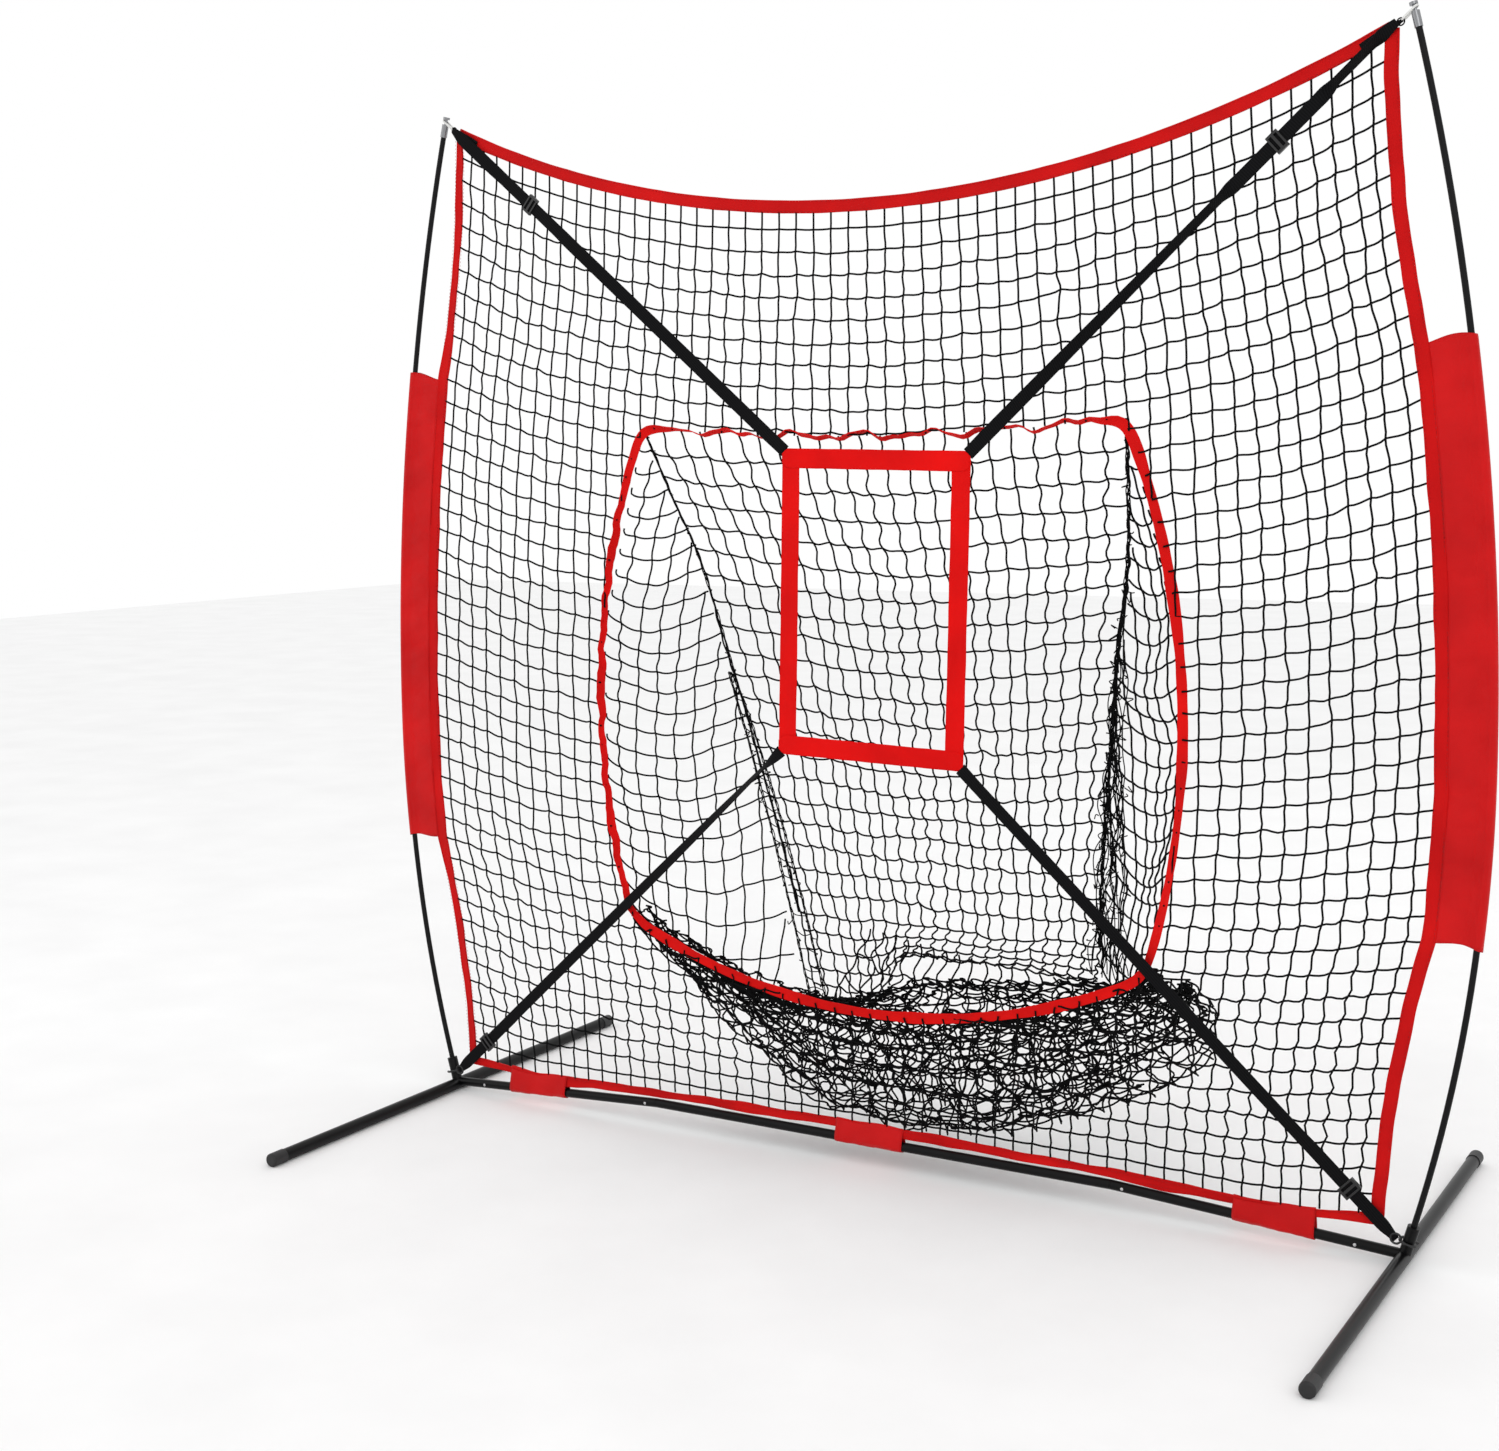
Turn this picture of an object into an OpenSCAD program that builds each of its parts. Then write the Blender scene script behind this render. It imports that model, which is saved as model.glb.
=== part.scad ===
// Pitching target net: a bow-framed net with a catch pocket and a strap-hung strike zone.
// Origin: on the ground, midway between the two base tubes.
// +X is to the thrower's right, +Y is to the back and +Z is up.

/* [Base] */
// Distance between the axes of the two base tubes
base_span = 2100; // [1900:10:2300]
// Length of each base tube, over its rubber caps
base_len = 1200; // [1000:10:1300]
// Outer diameter of the base tubes
base_d = 25.4; // [22:0.2:30]
// Outer diameter of the crossbar tubes
bar_d = 19; // [18:0.5:22]
// Wall thickness of every steel tube
wall = 1.2; // [1:0.1:1.6]
// Length of the crossbar's middle tube
bar_mid_len = 1020; // [800:10:1200]
// Height of the axis of the crossbar's middle tube, which the net's pull lifts
bar_mid_z = 50; // [35:1:60]

/* [Bow poles] */
// Diameter of the fibreglass poles
pole_d = 11; // [9:0.5:12]
// Height of the pole tips
tip_z = 2134; // [2000:1:2250]
// Half the distance between the pole tips
tip_x = 1003; // [960:1:1040]
// Half the distance between the poles where they bow out most
bulge_x = 1167; // [1140:1:1200]
// Height at which the poles bow out most
bulge_z = 850; // [700:10:1000]
// Length of the pole sockets, from the base tube's axis
socket_len = 60; // [50:1:80]

/* [Net] */
// Half width of the net between its top corners
net_top_x = 970; // [940:1:980]
// Height of the net's top corners
net_top_z = 2096; // [2000:1:2100]
// How far the top hem sags in its middle
top_sag = 212; // [100:1:250]
// Half width of the net between its bottom corners
net_bottom_x = 1003; // [980:1:1005]
// Width of the hem tape
hem_w = 25; // [20:1:30]
// Distance from a pole's axis to the middle of the side hem, across the sleeve
sleeve_w = 80; // [60:1:90]
// Height of the bottom end of the sleeves
sleeve_z0 = 575; // [500:5:650]
// Height of the top end of the sleeves
sleeve_z1 = 1600; // [1500:5:1650]
// Depth of the catch pocket behind the net
pocket_depth = 330; // [250:10:400]

/* [Strike zone] */
// Width of the strike zone's outer edge
zone_w = 405; // [380:1:432]
// Height of the strike zone's outer edge
zone_h = 606; // [560:1:650]
// Height of the middle of the strike zone
zone_z = 1121; // [1080:1:1160]
// Width of the strike zone's webbing
zone_band = 39; // [30:1:50]
// Width of the hanging straps
strap_w = 25; // [20:1:26]

/* [Hidden] */
$fn = 48;

// Base and crossbar
base_x = base_span / 2;
base_r = base_d / 2;
cap_wall = 1.3;
cap_r = base_r + cap_wall;
cap_len = 38;
cap_end = 6;
cap_round = 5;
cap_flat = 0.4;                 // the rubber's flat where it stands
base_z = cap_r - cap_flat;
bar_r = bar_d / 2;
bar_bore_r = bar_r - wall;
spigot_gap = 0.05;              // radial clearance of a tube joint
spigot_r = bar_bore_r - spigot_gap;
spigot_len = 50;
spigot_root = 6;
stub_len = 58;
stub_z = base_z + 5;
bar_run = base_x - bar_mid_len / 2;
bar_rise = bar_mid_z - stub_z;
bar_tilt = atan2(bar_rise, bar_run);
outer_len = norm([bar_run, bar_rise]) - stub_len;
end_gap = 0.7;                  // room for the slight angle at the middle joints

// Snap buttons: a pin that stands through the spigot and the tube around it
button_r = 3;
button_hole_r = 3.07;
button_proud = 2.3;
button_head = 0.8;
button_head_r = 4;
button_inner = 5.6;             // distance from the bar's axis to the top of the head
button_at = 25;
spring_w = 6;
spring_t = 0.6;
spring_run = 30;
spring_foot = 5.9;

// Bow poles: two tangent arcs, whose ends run down the middle of the socket and of the tip
pole_r = pole_d / 2;
tip_len = 42;
tip_r = 7;
tip_seat = 19;                  // distance from the tip's end to the pole in it
foot_seat = base_r + 6;         // distance from the base tube's axis to the pole's foot
foot_mid = (foot_seat + socket_len) / 2;
tip_mid = (tip_seat + tip_len) / 2;
low_dx = bulge_x - base_x;
low_dz = bulge_z - base_z;
high_dx = bulge_x - tip_x;
high_dz = tip_z - bulge_z;
function bow_radius(dx, dz, straight) = (dx * dx + dz * dz - straight * straight) / (2 * dx);
function bow_angle(dx, dz, straight) =
    let (r = bow_radius(dx, dz, straight)) atan2(dz, r - dx) - atan2(straight, r);
low_r = bow_radius(low_dx, low_dz, foot_mid);
low_a = bow_angle(low_dx, low_dz, foot_mid);
high_r = bow_radius(high_dx, high_dz, tip_mid);
high_a = bow_angle(high_dx, high_dz, tip_mid);
// The middle and upper sections meet here, and the lower two at the widest place
joint_high_a = high_a / 2;
ferrule_half = 30;
ferrule_r = 6.75;
ferrule_bore_r = pole_r + 0.2;  // a straight ferrule on a bowed pole
pole_gap = 0.15;
socket_r = 11;
neck_r = 3.2;
neck_z = 10;
neck_h = 10.4;                  // tall enough for the slanting elastic

// Net outline
hem_t = 5;
net_t = 3;
side_bow = 14;                  // how far the free stretches of the side hems pull in
hem_low_z = 74;
hem_table = [[0, 78], [510, 72], [820, 60], [net_bottom_x, hem_low_z]];
sleeve_r0 = 7.2;
sleeve_r1 = 8.4;
sleeve_t = 2.4;
wrap_len = 150;
wrap_x = 820;
wrap_gap = 0.3;
wrap_t = 1.5;
wrap_ridge = 13.4;
wrap_ridge_t = 3;

// Opening and pocket
open_top_x = 520;
open_top_z = 1475;
open_low_x = 567;
open_low_z = 450;
open_top_sag = 25;
open_side_bow = 90;
open_low_sag = 138;
trim_w = 26;
trim_t = 6;
pocket_wall = 8;
pocket_mid_x = 630;
pocket_mid_z = 1050;
pocket_low_x = 600;
pocket_low_z = 330;
pocket_floor_x = 300;
pocket_floor = 25;

// Strike zone and straps
strap_y = -9;
strap_t = 2;
zone_t = 3;
zone_x = 12;
zone_turn = 1.4;
zone_gap = 0.6;
adjuster = [24, 7, 36];         // along the strap, through it and across it
adjuster_slot = [27, 3];        // across and through
adjuster_window = 6;
adjuster_top_at = 247;
adjuster_bottom_at = 100;
hook_up = 30;
hook_ring_r = 16;
hook_wire_r = 2.5;
eye_ring_r = 9;
eye_wire_r = 2;
eye_reach = 8;
hook_side = asin(-strap_y / hook_ring_r);
loop_wire_r = 1.5;
loop_ring_r = 6.2;
corner_wire_r = 1.2;
corner_ring_r = 6;
corner_drop = [27, 24];         // from a tip's neck to the net's corner
link_gap = 0.3;

// Plane helpers: every outline is drawn with X to the right and Z up
function left_of(d) = [-d[1], d[0]] / norm(d);
function flip(pts) = [for (i = [len(pts) - 1 : -1 : 0]) pts[i]];
function arc_pts(p, q, h, n, o = 0) =
    let (
        d = q - p,
        half = norm(d) / 2,
        r = (half * half + h * h) / (2 * h),
        c = (p + q) / 2 + left_of(d) * (h - r),
        a = asin(half / r)
    )
    [for (i = [0 : n])
        let (t = a * (2 * i / n - 1)) c + (r + o) * (left_of(d) * cos(t) + d / norm(d) * sin(t))];
function ring_pts(c, r, a0, a1, n) =
    [for (i = [0 : n]) let (a = a0 + (a1 - a0) * i / n) c + r * [cos(a), sin(a)]];
low_c = [bulge_x - low_r, bulge_z];
high_c = [bulge_x - high_r, bulge_z];
sleeve_a0 = asin((sleeve_z0 - bulge_z) / low_r);
sleeve_a1 = asin((sleeve_z1 - bulge_z) / high_r);
function rest(pts) = [for (i = [1 : len(pts) - 1]) pts[i]];
function sleeve_pts(o) = concat(
    ring_pts(low_c, low_r - sleeve_w + o, sleeve_a0, 0, 6),
    rest(ring_pts(high_c, high_r - sleeve_w + o, 0, sleeve_a1, 12))
);
// Joins two lines at one point, midway between the end of the first and the start of the second
function joined(a, b) = concat([for (i = [0 : len(a) - 2]) a[i]], [(a[len(a) - 1] + b[0]) / 2], rest(b));
function side_pts(o) =
    let (p = sleeve_pts(0))
    joined(
        joined(arc_pts([net_bottom_x, hem_low_z], p[0], side_bow, 8, -o), sleeve_pts(o)),
        arc_pts(p[len(p) - 1], [net_top_x, net_top_z], side_bow, 8, -o)
    );
function top_pts(o) = arc_pts([-net_top_x, net_top_z], [net_top_x, net_top_z], -top_sag, 32, o);
function bottom_pts(o) =
    [for (i = [-16 : 16]) let (x = net_bottom_x * i / 16) [x, lookup(abs(x), hem_table) + o]];
function opening_pts(o) =
    let (
        tx = open_top_x + o,
        tz = open_top_z + o,
        lx = open_low_x + o,
        lz = open_low_z - o / 2
    )
    concat(
        arc_pts([-tx, tz], [tx, tz], -open_top_sag, 12),
        arc_pts([tx, tz], [lx, lz], open_side_bow, 12),
        arc_pts([lx, lz], [-lx, lz], open_low_sag + o / 2, 16),
        arc_pts([-lx, lz], [-tx, tz], open_side_bow, 12)
    );
function pocket_half(i) =
    [
        [open_top_x - i, open_top_z - i], [pocket_mid_x - i, pocket_mid_z],
        [pocket_low_x - i, pocket_low_z + i / 2],
        [pocket_floor_x - i / 2, pocket_floor + i]
    ];
function pocket_front(i) = concat(pocket_half(i), flip([for (p = pocket_half(i)) [-p[0], p[1]]]));
// The pocket seen from the side, as [y, z]; i thickens the wall inwards
function pocket_side(i) =
    let (y0 = trim_t / 2, lip = i > 0 ? 4 * trim_t : 0, d = pocket_depth, low = open_low_z - open_low_sag)
    [
        [y0 - lip, open_top_z - i], [y0 - i, open_top_z - i], [0.78 * d - i, 760], [d - i, 400],
        [0.86 * d - i, 90 + i / 2], [0.62 * d, pocket_floor + i], [0.25 * d + i, pocket_floor + i],
        [y0 + i, low + i], [y0 - lip, low + i]
    ];
function zone_corner(sx, sz) =
    let (x = sx * zone_w / 2, z = sz * zone_h / 2, t = zone_turn)
    [zone_x + x * cos(t) + z * sin(t), zone_z - x * sin(t) + z * cos(t)];
function unit(v) = v / norm(v);
function top_end(s) = [s * net_top_x, net_top_z];
function socket_point(up) = [base_x + up * sin(low_a), base_z + up * cos(low_a)];
function eye_center(s) =
    let (p = socket_point(hook_up), reach = hook_ring_r * cos(hook_side) + eye_reach)
    [s * (p[0] - reach * cos(low_a)), p[1] + reach * sin(low_a)];
function bottom_end(s) =
    let (e = eye_center(s)) e + unit(zone_corner(s, -1) - e) * (eye_ring_r + eye_wire_r + 0.5);

// Placement helpers
module at_side(s) {
    mirror([s < 0 ? 1 : 0, 0, 0]) children();
}
// Draws a plane outline upright, centred on the net's plane, t thick
module upright(t) {
    rotate([90, 0, 0]) translate([0, 0, -t / 2]) linear_extrude(t) children();
}
module along_bar() {
    translate([base_x, 0, stub_z]) rotate([0, -90 + bar_tilt, 0]) children();
}
module socket_axis() {
    translate([base_x, 0, base_z]) rotate([0, low_a, 0]) children();
}
module tip_axis() {
    translate([tip_x, 0, tip_z]) rotate([0, -high_a, 0]) children();
}
// A bar of section children() swept along the bow, between two angles about centre c
module bow(c, r, a0, a1) {
    translate([c[0], 0, c[1]]) rotate([90, 0, 0]) rotate([0, 0, a0])
        rotate_extrude(angle = a1 - a0, $fn = 1440) translate([r, 0]) children();
}
module tube(r, bore, z0, z1) {
    difference() {
        translate([0, 0, z0]) cylinder(h = z1 - z0, r = r);
        translate([0, 0, z0 - 1]) cylinder(h = z1 - z0 + 2, r = bore);
    }
}
// A hole on the front of a bar that runs along Z
module button_hole(z) {
    translate([0, 0, z]) rotate([90, 0, 0]) cylinder(h = 2 * bar_r, r = button_hole_r);
}

// Base
module leg_tube() {
    color("#1c1c1e") translate([base_x, base_len / 2 - cap_end, base_z]) rotate([90, 0, 0])
        tube(base_r, base_r - wall, 0, base_len - 2 * cap_end);
}
module foot_cap(s) {
    color("#141414") mirror([0, s < 0 ? 0 : 1, 0]) difference() {
        translate([base_x, -base_len / 2, base_z]) rotate([-90, 0, 0]) rotate_extrude() difference() {
            union() {
                translate([0, cap_round]) square([cap_r, cap_len - cap_round]);
                square([cap_r - cap_round, cap_len]);
                translate([cap_r - cap_round, cap_round]) circle(cap_round);
            }
            translate([0, cap_end]) square([base_r + 0.05, cap_len]);
            translate([-20, -1]) square([20, cap_len + 2]);
        }
        translate([base_x - 30, -base_len / 2 - 1, -10]) cube([60, cap_len + 2, 10]);
    }
}
module bar_stub() {
    color("#1c1c1e") difference() {
        along_bar() difference() {
            union() {
                cylinder(h = stub_len, r = bar_r);
                cylinder(h = stub_len + spigot_len, r = spigot_r);
            }
            translate([0, 0, -1]) cylinder(h = stub_len + spigot_len + 2, r = spigot_r - wall);
            button_hole(stub_len + button_at);
        }
        translate([base_x, 50, base_z]) rotate([90, 0, 0]) cylinder(h = 100, r = base_r);
        socket_axis() cylinder(h = socket_len, r = socket_r);
    }
}
module pole_socket() {
    color("#1c1c1e") difference() {
        socket_axis() difference() {
            cylinder(h = socket_len, r = socket_r);
            translate([0, 0, base_r + 1]) cylinder(h = socket_len, r = pole_r + pole_gap);
        }
        translate([base_x, 50, base_z]) rotate([90, 0, 0]) cylinder(h = 100, r = base_r);
    }
}

// Crossbar
module crossbar_outer() {
    color("#1c1c1e") along_bar() difference() {
        tube(bar_r, bar_bore_r, stub_len, stub_len + outer_len - end_gap);
        button_hole(stub_len + button_at);
        button_hole(stub_len + outer_len - button_at);
    }
}
module mid_spigot() {
    along_bar() translate([0, 0, stub_len + outer_len - spigot_len])
        cylinder(h = spigot_len + spigot_root, r = spigot_r);
}
module mid_spigot_holes() {
    along_bar() {
        translate([0, 0, stub_len + outer_len - spigot_len - 1])
            cylinder(h = spigot_len + 1, r = spigot_r - wall);
        button_hole(stub_len + outer_len - button_at);
    }
}
module mid_bar(len, r) {
    translate([-len / 2, 0, bar_mid_z]) rotate([0, 90, 0]) cylinder(h = len, r = r);
}
// The spigots are fixed in the thickened ends of the middle tube
module crossbar_center() {
    color("#1c1c1e") difference() {
        union() {
            mid_bar(bar_mid_len, bar_r);
            mid_spigot();
            mirror([1, 0, 0]) mid_spigot();
        }
        mid_bar(bar_mid_len - 2 * spigot_len, bar_bore_r);
        mid_bar(bar_mid_len + 2, spigot_r - wall - 0.5);
        mid_spigot_holes();
        mirror([1, 0, 0]) mid_spigot_holes();
    }
}
module snap_button(z) {
    color("#b8babd") along_bar() translate([0, 0, z]) rotate([90, 0, 0]) {
        translate([0, 0, button_inner - button_head]) cylinder(h = button_head, r = button_head_r);
        translate([0, 0, button_inner]) cylinder(h = bar_r + button_proud - button_inner - 1, r = button_r);
        translate([0, 0, bar_r + button_proud - 1]) rotate_extrude() intersection() {
            scale([button_r, 1]) circle(1, $fn = 48);
            square([button_r, 1]);
        }
    }
}
// The leaf spring's V lies along the bar, and its apex points to the bar's middle (s = 1) or end (s = -1)
module snap_spring(z, s) {
    top = button_inner - button_head - 0.05;
    color("#8d9095") along_bar() translate([0, 0, z]) rotate([0, -90, 0]) translate([0, 0, -spring_w / 2])
        linear_extrude(spring_w) polygon([
            [-4 * s, -top], [4 * s, -top], [spring_run * s, -spring_t / 2], [spring_run * s, spring_t / 2],
            [-4 * s, spring_foot], [-4 * s, spring_foot - spring_t], [(spring_run - 4) * s, 0],
            [4 * s, -top + spring_t], [-4 * s, -top + spring_t]
        ]);
}

// Bow poles
module pole_lower() {
    color("#202022") bow(low_c, low_r, -low_a - asin((foot_mid - foot_seat) / low_r), 0) circle(pole_r);
}
module pole_middle() {
    color("#202022") bow(high_c, high_r, 0, joint_high_a) circle(pole_r);
}
module pole_upper() {
    color("#202022")
        bow(high_c, high_r, joint_high_a, high_a + asin((tip_mid - tip_seat) / high_r)) circle(pole_r);
}
module ferrule(a) {
    color("#9a9da1")
        translate([high_c[0] + high_r * cos(a), 0, high_c[1] + high_r * sin(a)]) rotate([0, -a, 0])
        tube(ferrule_r, ferrule_bore_r, -ferrule_half, ferrule_half);
}
module pole_tip() {
    color("#c3c5c8") tip_axis() difference() {
        translate([0, 0, -tip_len]) cylinder(h = tip_len, r = tip_r);
        translate([0, 0, -tip_len - 1]) cylinder(h = tip_len - tip_seat + 2, r = pole_r + pole_gap);
        difference() {
            translate([0, 0, -neck_z - neck_h / 2]) cylinder(h = neck_h, r = tip_r + 1);
            translate([0, 0, -tip_len]) cylinder(h = tip_len, r = neck_r);
        }
    }
}

// Corner ties: an elastic loop round the tip's neck, linked through a loop on the net's corner
neck = [tip_x + neck_z * sin(high_a), tip_z - neck_z * cos(high_a)];
pull = -unit(corner_drop);
link_inner = loop_ring_r - loop_wire_r - link_gap - corner_wire_r;
link = neck - corner_drop - pull * (link_inner + 2 * corner_ring_r + corner_wire_r);
module stadium(r, len) {
    circle(r);
    translate([len, 0]) circle(r);
    translate([0, -r]) square([len, 2 * r]);
}
module elastic_loop() {
    run = norm(link - neck);
    color("#ecece8") translate([neck[0], 0, neck[1]]) rotate([0, -atan2(pull[1], pull[0]), 0])
        translate([0, 0, -loop_wire_r]) linear_extrude(2 * loop_wire_r) difference() {
            stadium(loop_ring_r + loop_wire_r, run);
            stadium(loop_ring_r - loop_wire_r, run);
        }
}
module corner_loop() {
    c = link + pull * (link_inner + corner_ring_r);
    color("#161616") translate([c[0], 0, c[1]]) rotate([90, 0, 0])
        rotate_extrude() translate([corner_ring_r, 0]) circle(corner_wire_r, $fn = 24);
}

// Net, hems and sleeves
module hem_side_2d() {
    polygon(concat(side_pts(hem_w / 2), flip(side_pts(-hem_w / 2))));
}
module hem_sides_2d() {
    hem_side_2d();
    mirror([1, 0]) hem_side_2d();
}
module hem_top_2d() {
    difference() {
        polygon(concat(top_pts(hem_w / 2), flip(top_pts(-hem_w / 2))));
        hem_sides_2d();
    }
}
module hem_bottom_2d() {
    difference() {
        polygon(concat(bottom_pts(hem_w / 2), flip(bottom_pts(-hem_w / 2))));
        hem_sides_2d();
    }
}
module net_panel() {
    color("#0e0e0e") upright(net_t) difference() {
        polygon(concat(
            bottom_pts(0), rest(side_pts(0)), rest(flip(top_pts(0))),
            rest([for (p = flip(side_pts(0))) [-p[0], p[1]]])
        ));
        hem_sides_2d();
        hem_top_2d();
        hem_bottom_2d();
        polygon(opening_pts(trim_w / 2));
    }
}
module opening_trim() {
    color("#d11414") upright(trim_t) difference() {
        polygon(opening_pts(trim_w / 2));
        polygon(opening_pts(-trim_w / 2));
    }
}
module hem_top() {
    color("#d11414") upright(hem_t) hem_top_2d();
}
module hem_bottom() {
    color("#d11414") upright(hem_t) hem_bottom_2d();
}
module hem_side() {
    color("#d11414") upright(hem_t) hem_side_2d();
}
module sleeve() {
    color("#d81818") {
        upright(sleeve_t)
            polygon(concat(sleeve_pts(hem_w / 2), flip(sleeve_pts(sleeve_w - sleeve_r0 - 0.6))));
        bow(low_c, low_r, sleeve_a0, 0) sleeve_ring();
        bow(high_c, high_r, 0, sleeve_a1) sleeve_ring();
    }
}
module sleeve_ring() {
    difference() {
        circle(sleeve_r1);
        circle(sleeve_r0);
    }
}
module pocket_solid(i) {
    intersection() {
        rotate([90, 0, 0]) translate([0, 0, -600]) linear_extrude(700) polygon(pocket_front(i));
        rotate([90, 0, 90]) translate([0, 0, -800]) linear_extrude(1600) polygon(pocket_side(i));
    }
}
module net_pocket() {
    color("#0e0e0e") difference() {
        pocket_solid(0);
        pocket_solid(pocket_wall);
    }
}
module bar_wrap(len) {
    color("#d11414") translate([0, 0, -len / 2]) difference() {
        union() {
            cylinder(h = len, r = bar_r + wrap_gap + wrap_t);
            translate([0, -wrap_ridge_t / 2, 0]) cube([wrap_ridge, wrap_ridge_t, len]);
        }
        translate([0, 0, -1]) cylinder(h = len + 2, r = bar_r + wrap_gap);
    }
}
module bar_wrap_outer() {
    along_bar() translate([0, 0, (base_x - wrap_x) / cos(bar_tilt)]) bar_wrap(wrap_len);
}
module bar_wrap_center() {
    translate([0, 0, bar_mid_z]) rotate([0, -90, 0]) bar_wrap(wrap_len);
}

// Strike zone, its straps and their fittings
module strike_zone() {
    color("#d11414")
        translate([zone_x, strap_y, zone_z]) rotate([0, zone_turn, 0]) upright(zone_t) difference() {
        square([zone_w, zone_h], center = true);
        square([zone_w - 2 * zone_band, zone_h - 2 * zone_band], center = true);
    }
}
// Places children with X along the line from p to q, at p
module on_line(p, q) {
    translate([p[0], strap_y, p[1]]) rotate([0, -atan2(q[1] - p[1], q[0] - p[0]), 0]) children();
}
module strap(p, q) {
    color("#161616") on_line(p, q) translate([0, -strap_t / 2, -strap_w / 2])
        cube([norm(q - p) - zone_gap, strap_t, strap_w]);
}
module strap_adjuster(p, q, at) {
    color("#0c0c0c") on_line(p, q) translate([at, 0, 0]) difference() {
        cube(adjuster, center = true);
        cube([adjuster[0] + 1, adjuster_slot[1], adjuster_slot[0]], center = true);
        for (s = [-1, 1])
            translate([s * 5.5, -adjuster[1] / 2, 0])
                cube([adjuster_window, adjuster[1], adjuster_slot[0]], center = true);
    }
}
module hook() {
    gap_a = 70;
    color("#101010") {
        socket_axis() translate([0, 0, hook_up]) rotate([0, 0, gap_a / 2])
            rotate_extrude(angle = 360 - gap_a) translate([hook_ring_r, 0]) circle(hook_wire_r, $fn = 24);
        translate([eye_center(1)[0], strap_y, eye_center(1)[1]]) rotate([90, 0, 0])
            rotate_extrude() translate([eye_ring_r, 0]) circle(eye_wire_r, $fn = 24);
    }
}

button_hub_z = stub_len + button_at;
button_mid_z = stub_len + outer_len - button_at;

at_side(-1) leg_tube();  // leg_tube_left
at_side(1) leg_tube();  // leg_tube_right
at_side(-1) bar_stub();  // bar_stub_left
at_side(1) bar_stub();  // bar_stub_right
at_side(-1) pole_socket();  // pole_socket_left
at_side(1) pole_socket();  // pole_socket_right
at_side(-1) foot_cap(-1);  // foot_cap_left_front
at_side(-1) foot_cap(1);  // foot_cap_left_rear
at_side(1) foot_cap(-1);  // foot_cap_right_front
at_side(1) foot_cap(1);  // foot_cap_right_rear
at_side(-1) crossbar_outer();  // crossbar_left
crossbar_center();
at_side(1) crossbar_outer();  // crossbar_right
at_side(-1) snap_button(button_hub_z);  // button_hub_left
at_side(1) snap_button(button_hub_z);  // button_hub_right
at_side(-1) snap_button(button_mid_z);  // button_mid_left
at_side(1) snap_button(button_mid_z);  // button_mid_right
at_side(-1) snap_spring(button_hub_z, -1);  // spring_hub_left
at_side(1) snap_spring(button_hub_z, -1);  // spring_hub_right
at_side(-1) snap_spring(button_mid_z, 1);  // spring_mid_left
at_side(1) snap_spring(button_mid_z, 1);  // spring_mid_right
at_side(-1) pole_lower();  // pole_lower_left
at_side(1) pole_lower();  // pole_lower_right
at_side(-1) pole_middle();  // pole_middle_left
at_side(1) pole_middle();  // pole_middle_right
at_side(-1) pole_upper();  // pole_upper_left
at_side(1) pole_upper();  // pole_upper_right
at_side(-1) ferrule(0);  // ferrule_lower_left
at_side(1) ferrule(0);  // ferrule_lower_right
at_side(-1) ferrule(joint_high_a);  // ferrule_upper_left
at_side(1) ferrule(joint_high_a);  // ferrule_upper_right
at_side(-1) pole_tip();  // pole_tip_left
at_side(1) pole_tip();  // pole_tip_right
at_side(-1) elastic_loop();  // elastic_loop_left
at_side(1) elastic_loop();  // elastic_loop_right
at_side(-1) corner_loop();  // corner_loop_left
at_side(1) corner_loop();  // corner_loop_right
net_panel();
net_pocket();
hem_top();
hem_bottom();
at_side(-1) hem_side();  // hem_left
at_side(1) hem_side();  // hem_right
at_side(-1) sleeve();  // sleeve_left
at_side(1) sleeve();  // sleeve_right
opening_trim();
at_side(-1) bar_wrap_outer();  // bar_wrap_left
bar_wrap_center();
at_side(1) bar_wrap_outer();  // bar_wrap_right
strike_zone();
strap(top_end(-1), zone_corner(-1, 1));  // strap_top_left
strap(top_end(1), zone_corner(1, 1));  // strap_top_right
strap(bottom_end(-1), zone_corner(-1, -1));  // strap_bottom_left
strap(bottom_end(1), zone_corner(1, -1));  // strap_bottom_right
strap_adjuster(top_end(-1), zone_corner(-1, 1), adjuster_top_at);  // adjuster_top_left
strap_adjuster(top_end(1), zone_corner(1, 1), adjuster_top_at);  // adjuster_top_right
strap_adjuster(bottom_end(-1), zone_corner(-1, -1), adjuster_bottom_at);  // adjuster_bottom_left
strap_adjuster(bottom_end(1), zone_corner(1, -1), adjuster_bottom_at);  // adjuster_bottom_right
at_side(-1) hook();  // hook_left
at_side(1) hook();  // hook_right
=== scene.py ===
"""Pitching target net: netting, cloth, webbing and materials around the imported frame."""
import math

import bpy
import numpy as np
from mathutils import Matrix, Vector


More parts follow.
